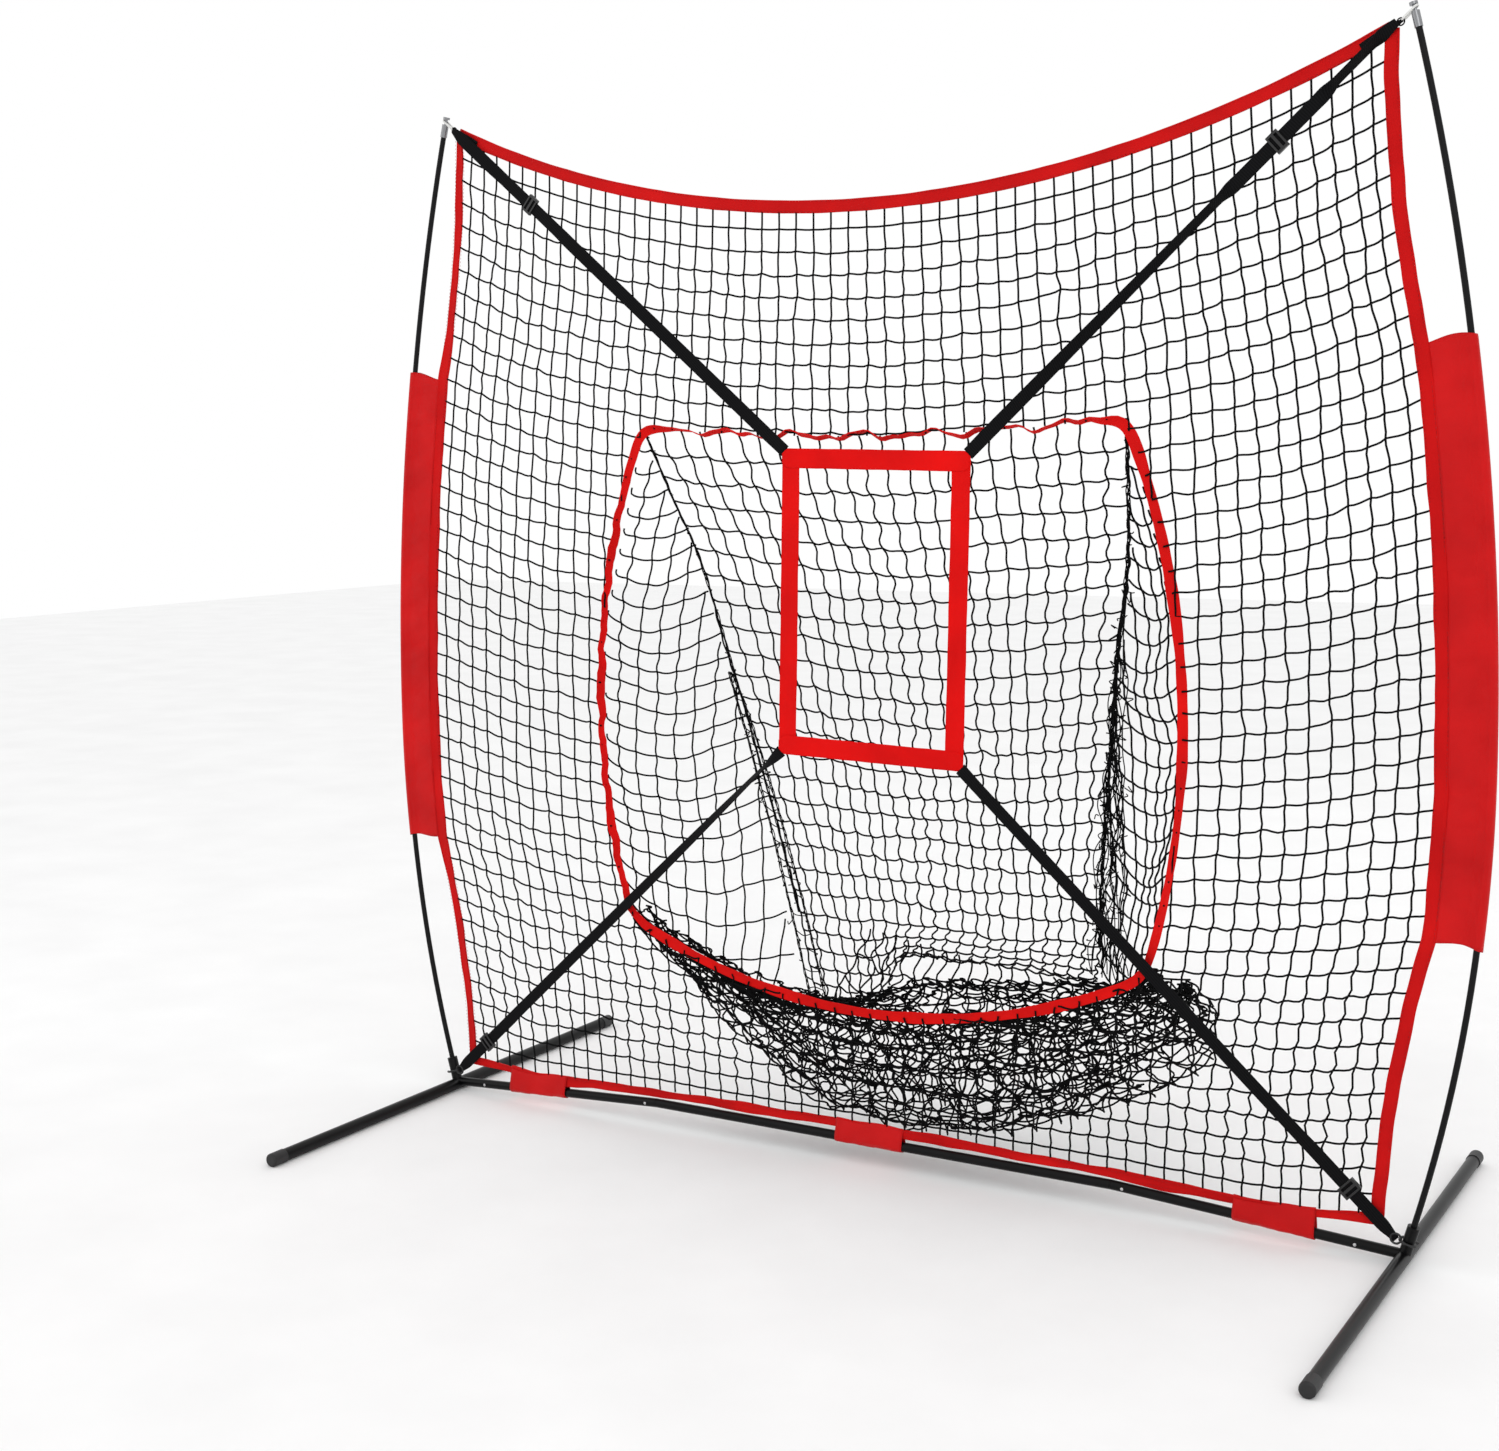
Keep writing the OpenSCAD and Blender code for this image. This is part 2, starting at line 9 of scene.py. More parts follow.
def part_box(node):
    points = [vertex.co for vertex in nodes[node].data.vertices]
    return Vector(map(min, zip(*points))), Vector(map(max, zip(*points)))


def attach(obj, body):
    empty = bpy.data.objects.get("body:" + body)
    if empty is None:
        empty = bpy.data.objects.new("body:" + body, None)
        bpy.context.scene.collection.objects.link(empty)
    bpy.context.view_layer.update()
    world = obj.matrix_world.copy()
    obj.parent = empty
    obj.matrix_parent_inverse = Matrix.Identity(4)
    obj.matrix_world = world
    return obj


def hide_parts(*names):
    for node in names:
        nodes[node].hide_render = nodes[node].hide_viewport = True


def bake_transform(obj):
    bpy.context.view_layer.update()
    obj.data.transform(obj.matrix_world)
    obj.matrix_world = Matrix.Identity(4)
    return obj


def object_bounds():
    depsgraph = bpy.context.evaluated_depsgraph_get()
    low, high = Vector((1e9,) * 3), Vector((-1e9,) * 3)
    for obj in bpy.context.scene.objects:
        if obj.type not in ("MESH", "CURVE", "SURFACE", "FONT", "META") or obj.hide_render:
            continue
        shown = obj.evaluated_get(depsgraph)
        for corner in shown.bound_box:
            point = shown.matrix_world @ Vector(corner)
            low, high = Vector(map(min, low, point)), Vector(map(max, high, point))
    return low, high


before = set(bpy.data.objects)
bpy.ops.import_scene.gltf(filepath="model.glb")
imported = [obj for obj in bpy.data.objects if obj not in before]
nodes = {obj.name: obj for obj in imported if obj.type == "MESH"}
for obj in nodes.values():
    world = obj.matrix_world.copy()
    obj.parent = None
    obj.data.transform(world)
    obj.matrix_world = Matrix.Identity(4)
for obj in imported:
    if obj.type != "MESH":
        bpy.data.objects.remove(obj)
cad_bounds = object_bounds()
rng = np.random.default_rng(7)

# ---------------------------------------------------------------- camera
CAMERA_AT = (1.852, -3.541, 1.410)
CAMERA_YAW, CAMERA_PITCH, CAMERA_ROLL = 0.540, -0.129, -0.011
CAMERA_LENS = 49.5


def make_camera():
    data = bpy.data.cameras.new("camera")
    data.lens = CAMERA_LENS
    data.sensor_width = 36
    data.clip_end = 100
    camera = bpy.data.objects.new("camera", data)
    bpy.context.scene.collection.objects.link(camera)
    yaw, pitch, roll = CAMERA_YAW, CAMERA_PITCH, CAMERA_ROLL
    ahead = Vector((-math.sin(yaw) * math.cos(pitch), math.cos(yaw) * math.cos(pitch), math.sin(pitch)))
    right = Vector((math.cos(yaw), math.sin(yaw), 0))
    up = right.cross(ahead)
    x = right * math.cos(roll) + up * math.sin(roll)
    y = up * math.cos(roll) - right * math.sin(roll)
    turn = Matrix((x, y, -ahead)).transposed().to_4x4()
    camera.matrix_world = Matrix.Translation(CAMERA_AT) @ turn
    bpy.context.scene.camera = camera


make_camera()

# ---------------------------------------------------------------- dimensions, in metres
MIRROR = np.array([-1, 1])
TOP_CORNER = np.array([0.970, 2.096])
BOTTOM_CORNER = np.array([1.003, 0.074])
TOP_SAG = 0.212
BOTTOM_X, BOTTOM_Z = (0.0, 0.510, 0.820, 1.003), (0.078, 0.072, 0.060, 0.074)
SIDE_BOW = 0.014
HEM_WIDE, HEM_THICK = 0.025, 0.0040
SLEEVE_LOW, SLEEVE_HIGH = 0.575, 1.600
SLEEVE_DEEP = 0.080
SLEEVE_MIDDLE = 1.09
OPEN_TOP = np.array([0.520, 1.475])
OPEN_LOW = np.array([0.567, 0.450])
OPEN_TOP_SAG, OPEN_SIDE_BOW, OPEN_LOW_SAG = 0.025, 0.090, 0.138
TRIM_WIDE = 0.025
TWINE_R = 0.0020
STRAP_WIDE, STRAP_THICK = 0.025, 0.0016
ZONE_THICK = 0.0022

pole_low, pole_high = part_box("pole_middle_right")
BULGE = np.array([pole_high.x - 0.0055, pole_low.z])
TIP = np.array([1.003, cad_bounds[1][2]])
FOOT = np.array([1.050, 0.0136])


def bow_circle(end, straight):
    """Centre and radius of the arc through the pole's widest place, which runs straight into its end."""
    dx, dz = BULGE[0] - end[0], end[1] - BULGE[1]
    radius = (dx * dx + dz * dz - straight * straight) / (2 * abs(dx))
    return np.array([BULGE[0] - radius, BULGE[1]]), radius


LOW_C, LOW_R = bow_circle(FOOT, 0.03935)
HIGH_C, HIGH_R = bow_circle(TIP, 0.0305)


# ---------------------------------------------------------------- lines in the net's plane
def arc(p, q, bow, count):
    """Points from p to q on an arc that stands bow to the left of the line between them."""
    p, q = np.array(p, float), np.array(q, float)
    d = q - p
    half = np.linalg.norm(d) / 2
    left = np.array([-d[1], d[0]]) / (2 * half)
    radius = (half * half + bow * bow) / (2 * bow)
    centre = (p + q) / 2 + left * (bow - radius)
    spread = math.asin(half / abs(radius)) * np.linspace(-1, 1, count)
    along = d / (2 * half)
    return centre + radius * np.cos(spread)[:, None] * left + abs(radius) * np.sin(spread)[:, None] * along


def resample(points, count, closed=False):
    """The same line with count points at even distances along it."""
    points = np.asarray(points, float)
    if closed:
        points = np.vstack([points, points[:1]])
    steps = np.linalg.norm(np.diff(points, axis=0), axis=1)
    at = np.concatenate([[0], np.cumsum(steps)])
    wanted = np.linspace(0, at[-1], count + 1 if closed else count)
    out = np.stack([np.interp(wanted, at, points[:, k]) for k in range(points.shape[1])], 1)
    return out[:-1] if closed else out


def length(points):
    return float(np.linalg.norm(np.diff(np.asarray(points), axis=0), axis=1).sum())


def ring_point(z, inset=0.0):
    """A point of the pole's bow at height z, moved in towards the middle of the bow's circle."""
    centre, radius = (LOW_C, LOW_R) if z < BULGE[1] else (HIGH_C, HIGH_R)
    angle = math.asin((z - BULGE[1]) / radius)
    return centre + (radius - inset) * np.array([math.cos(angle), math.sin(angle)])


def side_line():
    """Middle line of the right side hem, from the bottom corner up to the top corner."""
    sleeve = np.array([ring_point(z, SLEEVE_DEEP) for z in np.linspace(SLEEVE_LOW, SLEEVE_HIGH, 40)])
    low = arc(BOTTOM_CORNER, sleeve[0], SIDE_BOW, 20)
    high = arc(sleeve[-1], TOP_CORNER, SIDE_BOW, 20)
    return np.vstack([low[:-1], sleeve, high[1:]])


SIDE = side_line()


def side_x(z):
    return np.interp(z, SIDE[:, 1], SIDE[:, 0])


def bottom_z(x):
    return np.interp(np.abs(x), BOTTOM_X, BOTTOM_Z)


TOP_LINE = arc(TOP_CORNER * MIRROR, TOP_CORNER, -TOP_SAG, 81)


def top_z(x):
    return np.interp(x, TOP_LINE[:, 0], TOP_LINE[:, 1])


def opening_line():
    """Middle line of the opening's trim, clockwise from the top left, with rounded corners."""
    sides = [
        arc(OPEN_TOP * MIRROR, OPEN_TOP, -OPEN_TOP_SAG, 60),
        arc(OPEN_TOP, OPEN_LOW, OPEN_SIDE_BOW, 60),
        arc(OPEN_LOW, OPEN_LOW * MIRROR, OPEN_LOW_SAG, 60),
        arc(OPEN_LOW * MIRROR, OPEN_TOP * MIRROR, OPEN_SIDE_BOW, 60),
    ]
    line = resample(np.vstack([s[:-1] for s in sides]), 360, closed=True)
    for _ in range(10):
        line = (np.roll(line, 1, 0) + 2 * line + np.roll(line, -1, 0)) / 4
    return line


OPENING = opening_line()


def inside(points, polygon):
    """Which points lie in the polygon."""
    x, z = points[:, 0], points[:, 1]
    result = np.zeros(len(points), bool)
    for (ax, az), (bx, bz) in zip(polygon, np.roll(polygon, -1, 0)):
        if az == bz:
            continue
        crosses = (az > z) != (bz > z)
        result ^= crosses & (x < (bx - ax) * (z - az) / (bz - az) + ax)
    return result


def ease(t):
    """Eases a share from 0 to 1, slow at both ends."""
    return t * t * (3 - 2 * t)


# ---------------------------------------------------------------- meshes
def link(name, data):
    obj = bpy.data.objects.new(name, data)
    bpy.context.scene.collection.objects.link(obj)
    return obj


def link_mesh(name, verts, faces, material):
    mesh = bpy.data.meshes.new(name)
    mesh.from_pydata([tuple(v) for v in verts], [], [tuple(int(i) for i in f) for f in faces])
    mesh.validate()
    mesh.polygons.foreach_set("use_smooth", [True] * len(mesh.polygons))
    mesh.materials.append(material)
    return link(name, mesh)


def unit(v):
    return v / np.maximum(np.linalg.norm(v, axis=-1, keepdims=True), 1e-9)


def tangents(points, closed=False):
    if closed:
        return unit(np.roll(points, -1, 0) - np.roll(points, 1, 0))
    return unit(np.gradient(points, axis=0))


def twine(name, strands, material, radius=TWINE_R, sides=5):
    """One mesh of round strands, each a list of points."""
    verts, faces = [], []
    base = 0
    turn = np.linspace(0, 2 * math.pi, sides, endpoint=False)
    for points in strands:
        points = np.asarray(points, float)
        count = len(points)
        if count < 2:
            continue
        t = tangents(points)
        ref = np.array([0.0, 1.0, 0.0]) if abs(t[:, 1]).mean() < 0.8 else np.array([1.0, 0.0, 0.0])
        a = unit(np.cross(t, ref))
        b = np.cross(t, a)
        ring = points[:, None] + radius * (
            np.cos(turn)[None, :, None] * a[:, None] + np.sin(turn)[None, :, None] * b[:, None]
        )
        verts.append(ring.reshape(-1, 3))
        i = np.arange(count - 1)[:, None] * sides
        k = np.arange(sides)[None, :]
        n = (k + 1) % sides
        quads = np.stack([i + k, i + n, i + sides + n, i + sides + k], -1).reshape(-1, 4)
        faces.append(quads + base)
        base += count * sides
    verts = np.vstack(verts)
    faces = np.vstack(faces)
    mesh = bpy.data.meshes.new(name)
    mesh.vertices.add(len(verts))
    mesh.vertices.foreach_set("co", verts.astype(np.float32).ravel())
    mesh.loops.add(len(faces) * 4)
    mesh.loops.foreach_set("vertex_index", faces.astype(np.int32).ravel())
    mesh.polygons.add(len(faces))
    mesh.polygons.foreach_set("loop_start", np.arange(len(faces), dtype=np.int32) * 4)
    mesh.polygons.foreach_set("use_smooth", np.ones(len(faces), bool))
    mesh.update(calc_edges=True)
    mesh.validate()
    mesh.materials.append(material)
    return link(name, mesh)


def tube_faces(count, m, closed=False):
    """Faces that join count rings of m points each."""
    faces = []
    for i in range(count if closed else count - 1):
        j = (i + 1) % count
        for k in range(m):
            n = (k + 1) % m
            faces.append((i * m + k, j * m + k, j * m + n, i * m + n))
    return faces


def sweep(name, points, wide, section, material, closed=False):
    """A band along points. wide gives its width direction at each point, and section its outline there as
    (across, through) pairs, one set for all or one for each point."""
    points = np.asarray(points, float)
    wide = np.broadcast_to(np.asarray(wide, float), points.shape)
    t = tangents(points, closed)
    wide = unit(wide - t * (wide * t).sum(1, keepdims=True))
    through = np.cross(t, wide)
    section = np.asarray(section, float)
    if section.ndim == 2:
        section = np.broadcast_to(section, (len(points),) + section.shape)
    ring = points[:, None] + section[:, :, :1] * wide[:, None] + section[:, :, 1:] * through[:, None]
    count, m = section.shape[:2]
    verts = ring.reshape(-1, 3)
    faces = tube_faces(count, m, closed)
    if not closed:
        faces.append(tuple(range(m)))
        faces.append(tuple(reversed(range((count - 1) * m, count * m))))
    return link_mesh(name, verts, faces, material)


def band(width, thick, edge=0.0):
    """A tape's outline: flat faces, rounded edges, and edge is how much thicker its folded borders are."""
    w, h, e = width / 2, thick / 2, edge
    return np.array([
        (-w, -0.3 * h), (-w + 0.3 * h, -h - e), (-w * 0.80, -h - e), (-w * 0.72, -h), (0, -h), (w * 0.72, -h),
        (w * 0.80, -h - e), (w - 0.3 * h, -h - e), (w, -0.3 * h), (w, 0.3 * h), (w - 0.3 * h, h + e),
        (w * 0.80, h + e), (w * 0.72, h), (0, h), (-w * 0.72, h), (-w * 0.80, h + e), (-w + 0.3 * h, h + e),
        (-w, 0.3 * h),
    ])


def flat3(points, y=0.0):
    """Points of the net's plane as points in space."""
    points = np.asarray(points, float)
    out = np.zeros((len(points), 3))
    out[:, 0], out[:, 2] = points[:, 0], points[:, 1]
    out[:, 1] = y
    return out


def wave(x, seed, scale, octaves=3):
    """Smooth noise along x, from about -1 to 1, with features about scale long."""
    r = np.random.default_rng(seed)
    total = np.zeros_like(np.asarray(x, float))
    for k in range(octaves):
        f = 2 * math.pi / scale * 1.9 ** k
        total += np.sin(f * x * (1 + 0.2 * r.random()) + 6.28 * r.random()) / 1.7 ** k
    return total / 1.8


# ---------------------------------------------------------------- materials
def material(name, build):
    mat = bpy.data.materials.new(name)
    mat.use_nodes = True
    tree = mat.node_tree
    shader = tree.nodes["Principled BSDF"]
    build(tree, shader)
    return mat


def node(tree, kind, **values):
    made = tree.nodes.new(kind)
    for key, value in values.items():
        if key in made.inputs:
            made.inputs[key].default_value = value
        else:
            setattr(made, key, value)
    return made


def place(tree, scale=(1, 1, 1), turn=(0, 0, 0)):
    """Object coordinates, stretched."""
    where = node(tree, "ShaderNodeTexCoord")
    mapping = node(tree, "ShaderNodeMapping")
    mapping.inputs["Scale"].default_value = scale
    mapping.inputs["Rotation"].default_value = turn
    tree.links.new(where.outputs["Object"], mapping.inputs["Vector"])
    return mapping.outputs["Vector"]


def noise(tree, scale, detail=3.0, vector=None, rough=0.5):
    made = node(tree, "ShaderNodeTexNoise", Scale=scale, Detail=detail, Roughness=rough)
    tree.links.new(vector if vector is not None else place(tree), made.inputs["Vector"])
    return made.outputs["Fac"]


def roughen(tree, shader, value, low, high):
    """Roughness from low to high as value goes from 0 to 1."""
    made = node(tree, "ShaderNodeMapRange")
    made.inputs["To Min"].default_value = low
    made.inputs["To Max"].default_value = high
    tree.links.new(value, made.inputs["Value"])
    tree.links.new(made.outputs["Result"], shader.inputs["Roughness"])


def tint(tree, shader, value, dark, light, low=0.3, high=0.7):
    """Colour from dark, where value is low, to light, where it is high."""
    made = node(tree, "ShaderNodeValToRGB")
    made.color_ramp.elements[0].position = low
    made.color_ramp.elements[1].position = high
    made.color_ramp.elements[0].color = (*dark, 1)
    made.color_ramp.elements[1].color = (*light, 1)
    tree.links.new(value, made.inputs["Fac"])
    tree.links.new(made.outputs["Color"], shader.inputs["Base Color"])


def bump(tree, shader, height, distance, strength=0.5):
    made = node(tree, "ShaderNodeBump", Strength=strength, Distance=distance)
    tree.links.new(height, made.inputs["Height"])
    tree.links.new(made.outputs["Normal"], shader.inputs["Normal"])


def sum_of(tree, a, b, share=0.5):
    made = node(tree, "ShaderNodeMath", operation="MULTIPLY_ADD")
    tree.links.new(a, made.inputs[0])
    made.inputs[1].default_value = share
    tree.links.new(b, made.inputs[2])
    return made.outputs[0]


def ribs(tree, pitch, direction, distortion):
    """Threads pitch apart that lie across the given direction."""
    made = node(tree, "ShaderNodeTexWave", Scale=1.0 / pitch / 6.28, Distortion=distortion, Detail=1.0)
    made.bands_direction = direction
    tree.links.new(place(tree), made.inputs["Vector"])
    return made.outputs["Fac"]


def weave(tree, pitch):
    """Warp and weft threads, pitch apart."""
    warp = ribs(tree, pitch, "X", 1.5)
    return sum_of(tree, ribs(tree, pitch, "Z", 1.5), warp, 1.0)


def cloth(name, dark, light, rough, sheen, pitch=0.0009, crease=0.0):
    def build(tree, shader):
        mottled = noise(tree, 9.0, 5.0)
        fine = noise(tree, 900.0, 2.0)
        tint(tree, shader, sum_of(tree, fine, mottled, 0.35), dark, light, 0.35, 0.95)
        roughen(tree, shader, fine, rough - 0.08, rough + 0.1)
        shader.inputs["Sheen Weight"].default_value = sheen
        shader.inputs["Sheen Roughness"].default_value = 0.4
        shader.inputs["Specular IOR Level"].default_value = 0.12
        height = weave(tree, pitch)
        if crease:
            folds = noise(tree, 26.0, 3.0, place(tree, (1, 1, 0.35), (0, 0.5, 0)))
            height = sum_of(tree, folds, height, crease)
        bump(tree, shader, height, 0.0004, 0.55)
    return material(name, build)


def gloss_paint(name, colour, rough):
    def build(tree, shader):
        peel = noise(tree, 420.0, 2.0)
        wear = noise(tree, 14.0, 6.0)
        tint(tree, shader, wear, colour, tuple(2.2 * c for c in colour), 0.45, 0.8)
        roughen(tree, shader, wear, rough - 0.04, rough + 0.10)
        shader.inputs["Specular IOR Level"].default_value = 0.16
        bump(tree, shader, peel, 0.0002, 0.25)
    return material(name, build)


def bare_metal(name, colour, rough, along=(1, 1, 0.02)):
    def build(tree, shader):
        drawn = noise(tree, 900.0, 3.0, place(tree, along))
        shader.inputs["Metallic"].default_value = 1.0
        tint(tree, shader, drawn, tuple(0.8 * c for c in colour), colour)
        roughen(tree, shader, drawn, rough - 0.06, rough + 0.08)
        bump(tree, shader, drawn, 0.0001, 0.2)
    return material(name, build)


def rubber(name, colour):
    def build(tree, shader):
        grain = noise(tree, 700.0, 3.0)
        dust = noise(tree, 30.0, 6.0)
        tint(tree, shader, dust, colour, tuple(2.5 * c for c in colour), 0.5, 0.9)
        roughen(tree, shader, dust, 0.42, 0.62)
        bump(tree, shader, grain, 0.0003, 0.35)
    return material(name, build)


def webbing(name, dark, light, pitch=0.0016):
    def build(tree, shader):
        twill = ribs(tree, pitch, "DIAGONAL", 0.6)
        fuzz = noise(tree, 1500.0, 2.0)
        tint(tree, shader, sum_of(tree, twill, fuzz, 0.4), dark, light, 0.3, 1.2)
        roughen(tree, shader, fuzz, 0.62, 0.85)
        shader.inputs["Specular IOR Level"].default_value = 0.07
        bump(tree, shader, twill, 0.0005, 0.6)
    return material(name, build)


def moulded(name, colour, rough):
    def build(tree, shader):
        grain = noise(tree, 1100.0, 2.0)
        flow = noise(tree, 45.0, 4.0)
        tint(tree, shader, flow, colour, tuple(1.8 * c for c in colour), 0.4, 0.9)
        roughen(tree, shader, flow, rough - 0.06, rough + 0.08)
        bump(tree, shader, grain, 0.00015, 0.3)
    return material(name, build)


red_tape = cloth("red_tape", (0.44, 0.001, 0.002), (0.66, 0.004, 0.004), 0.70, 0.03)
red_cloth = cloth("red_cloth", (0.46, 0.002, 0.003), (0.68, 0.006, 0.007), 0.42, 0.06, 0.0007, 0.6)
zone_cloth = cloth("zone_cloth", (0.60, 0.0005, 0.0005), (0.84, 0.0015, 0.001), 0.70, 0.0, 0.0008, 0.4)
trim_cloth = cloth("trim_cloth", (0.48, 0.001, 0.001), (0.80, 0.003, 0.002), 0.70, 0.0)
thread = cloth("red_thread", (0.30, 0.003, 0.004), (0.48, 0.008, 0.010), 0.7, 0.1)
net_twine = webbing("netting", (0.001, 0.001, 0.0012), (0.004, 0.004, 0.0045), 0.0010)
black_web = webbing("black_webbing", (0.0015, 0.0015, 0.0017), (0.007, 0.007, 0.008))
steel = gloss_paint("black_steel", (0.002, 0.002, 0.0022), 0.30)
cap_rubber = rubber("cap_rubber", (0.006, 0.006, 0.0065))
fibreglass = gloss_paint("fibreglass", (0.0025, 0.0025, 0.003), 0.40)
tip_metal = bare_metal("tip_metal", (0.30, 0.305, 0.315), 0.30)
ferrule_metal = bare_metal("ferrule_metal", (0.55, 0.56, 0.58), 0.32)
button_metal = bare_metal("button_metal", (0.62, 0.62, 0.63), 0.25, (1, 0.02, 1))
spring_metal = bare_metal("spring_metal", (0.42, 0.44, 0.47), 0.30, (0.02, 1, 1))
elastic = cloth("white_elastic", (0.62, 0.62, 0.60), (0.88, 0.88, 0.86), 0.7, 0.2, 0.0006)
black_plastic = moulded("black_plastic", (0.006, 0.006, 0.0065), 0.38)

CAD_LOOKS = {
    "leg_tube": steel, "bar_stub": steel, "pole_socket": steel, "crossbar": steel, "foot_cap": cap_rubber,
    "button": button_metal, "spring": spring_metal, "pole_lower": fibreglass, "pole_middle": fibreglass,
    "pole_upper": fibreglass, "ferrule": ferrule_metal, "pole_tip": tip_metal, "elastic_loop": elastic,
    "corner_loop": black_web, "adjuster": black_plastic, "hook": black_plastic, "strap": black_web,
    "strike_zone": zone_cloth, "net": net_twine, "hem": red_tape, "sleeve": red_cloth, "bar_wrap": red_cloth,
    "opening_trim": trim_cloth,
}


def dress_frame():
    for name, obj in nodes.items():
        look = next(look for start, look in CAD_LOOKS.items() if name.startswith(start))
        obj.data.materials.clear()
        obj.data.materials.append(look)


dress_frame()


def belongs(obj, node_name):
    """obj rides on the frame, and stands for a CAD node if one is named."""
    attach(obj, "frame")
    if node_name:
        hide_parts(node_name)


# ---------------------------------------------------------------- front netting
COLUMNS, ROWS = 54, 44
FINE = 4
TUCK_TOP, TUCK_BOTTOM, TUCK_SIDE, TUCK_NARROW = 0.0105, 0.0085, 0.0105, 0.0060


def front_point(u, v):
    """Where the netting's thread u (from -1 to 1 across) meets v (0 at the bottom, 1 at the top)."""
    z = 0.07 + v * (1.9 + 0.2 * u * u)
    for _ in range(4):
        x = u * (1.05 - 0.05 * u * u) * side_x(z)
        low = bottom_z(x)
        corner = top_z(TOP_CORNER[0] * np.ones_like(x))
        sag = (corner - top_z(x * TOP_CORNER[0] / np.maximum(side_x(z), 0.5))) * v ** 0.62
        z = low + v * (corner - low) - sag
    return x, z


def front_threads():
    """Points of every thread of the front netting, before the opening is cut."""
    across = np.linspace(-1, 1, COLUMNS * FINE + 1)
    up = np.linspace(0, 1, ROWS * FINE + 1)
    u, v = np.meshgrid(across, up)
    x, z = front_point(u, v)
    fade = np.clip(np.minimum.reduce([1 - np.abs(u), v, 1 - v]) * 14, 0, 1)
    knots = (slice(None, None, FINE), slice(None, None, FINE))
    jump_x = rng.normal(0, 0.0020, x[knots].shape)
    jump_z = rng.normal(0, 0.0020, x[knots].shape)
    grid_u = np.linspace(0, COLUMNS, COLUMNS * FINE + 1)
    grid_v = np.linspace(0, ROWS, ROWS * FINE + 1)

    def spread_out(a):
        b = np.stack([np.interp(grid_u, np.arange(COLUMNS + 1), row) for row in a])
        return np.stack([np.interp(grid_v, np.arange(ROWS + 1), col) for col in b.T]).T

    x += spread_out(jump_x) * fade
    z += spread_out(jump_z) * fade
    phase_u, phase_v = (grid_u % 1)[None, :], (grid_v % 1)[:, None]
    loose = 0.4 + 0.8 * np.clip((0.75 - z) / 0.5, 0, 1)
    row_bow = -4 * phase_u * (1 - phase_u) * (0.0022 + 0.0014 * rng.random((len(grid_v), 1)))
    row_curl = np.sin(2 * math.pi * phase_u) * rng.normal(0.0010, 0.0006, (len(grid_v), 1))
    col_curl = np.sin(2 * math.pi * phase_v) * rng.normal(0.0022, 0.0008, (1, len(grid_u)))
    z_rows = z + (row_bow + row_curl) * fade * (0.5 + 0.5 * loose)
    x_cols = x + col_curl * fade * loose
    y = 0.0014 * wave(x * 1.7 + z, 3, 0.31) + 0.0008 * wave(z * 2.1 - x, 5, 0.13)
    y = y * np.clip(fade * 2 - 1, 0, 1)
    threads = []
    for j in range(ROWS + 1):
        k = j * FINE
        threads.append(np.stack([x[k], y[k], z_rows[k]], 1))
    for i in range(COLUMNS + 1):
        k = i * FINE
        threads.append(np.stack([x_cols[:, k], y[:, k] - 0.0006, z[:, k]], 1))
    return threads


def covered(points):
    """Which points lie in the opening, or further under the hems than the twine's ends reach."""
    x, z = points[:, 0], points[:, 1]
    reach = np.where((x < 0) & (np.abs(z - SLEEVE_MIDDLE) > 0.55), TUCK_NARROW, TUCK_SIDE)
    gone = inside(points, OPENING) | (np.abs(x) > side_x(z) - reach)
    return gone | (z > top_z(x) - TUCK_TOP) | (z < bottom_z(x) + TUCK_BOTTOM)


def cut(points):
    """The stretches of a thread that show, each ending under the edge of a hem or of the trim."""
    gone = covered(points[:, [0, 2]])
    runs, current = [], []
    for i in range(len(points)):
        if i and gone[i] != gone[i - 1]:
            a, b = points[i - 1], points[i]
            for _ in range(7):
                middle = (a + b) / 2
                same = covered(middle[None, [0, 2]])[0] == gone[i - 1]
                a, b = (middle, b) if same else (a, middle)
            current.append(a)
            if not gone[i - 1]:
                runs.append(current)
                current = []
            else:
                current = [a]
        if not gone[i]:
            current.append(points[i])
    if len(current) > 1:
        runs.append(current)
    return [np.array(r) for r in runs if len(r) > 1]


def make_front_netting():
    threads = front_threads()
    under_hems = (0, ROWS, ROWS + 1, len(threads) - 1)
    kept = []
    for k, points in enumerate(threads):
        if k not in under_hems:
            kept += cut(points)
    obj = twine("front_netting", kept, net_twine)
    belongs(obj, "net_panel")


make_front_netting()


# ---------------------------------------------------------------- pocket netting
pocket_low, pocket_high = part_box("net_pocket")
POCKET_BACK = pocket_high.y - 0.004
GROUND = pocket_low.z + 0.003
SHELF = 0.80
TRIM_SIDE = flat3(arc(OPEN_TOP, OPEN_LOW, OPEN_SIDE_BOW, 61), 0.004)
TRIM_TOP = flat3(arc(OPEN_TOP * MIRROR, OPEN_TOP, -OPEN_TOP_SAG, 61), 0.004)
TRIM_LOW = flat3(arc(OPEN_LOW, OPEN_LOW * MIRROR, OPEN_LOW_SAG, 61)[::-1], 0.004)
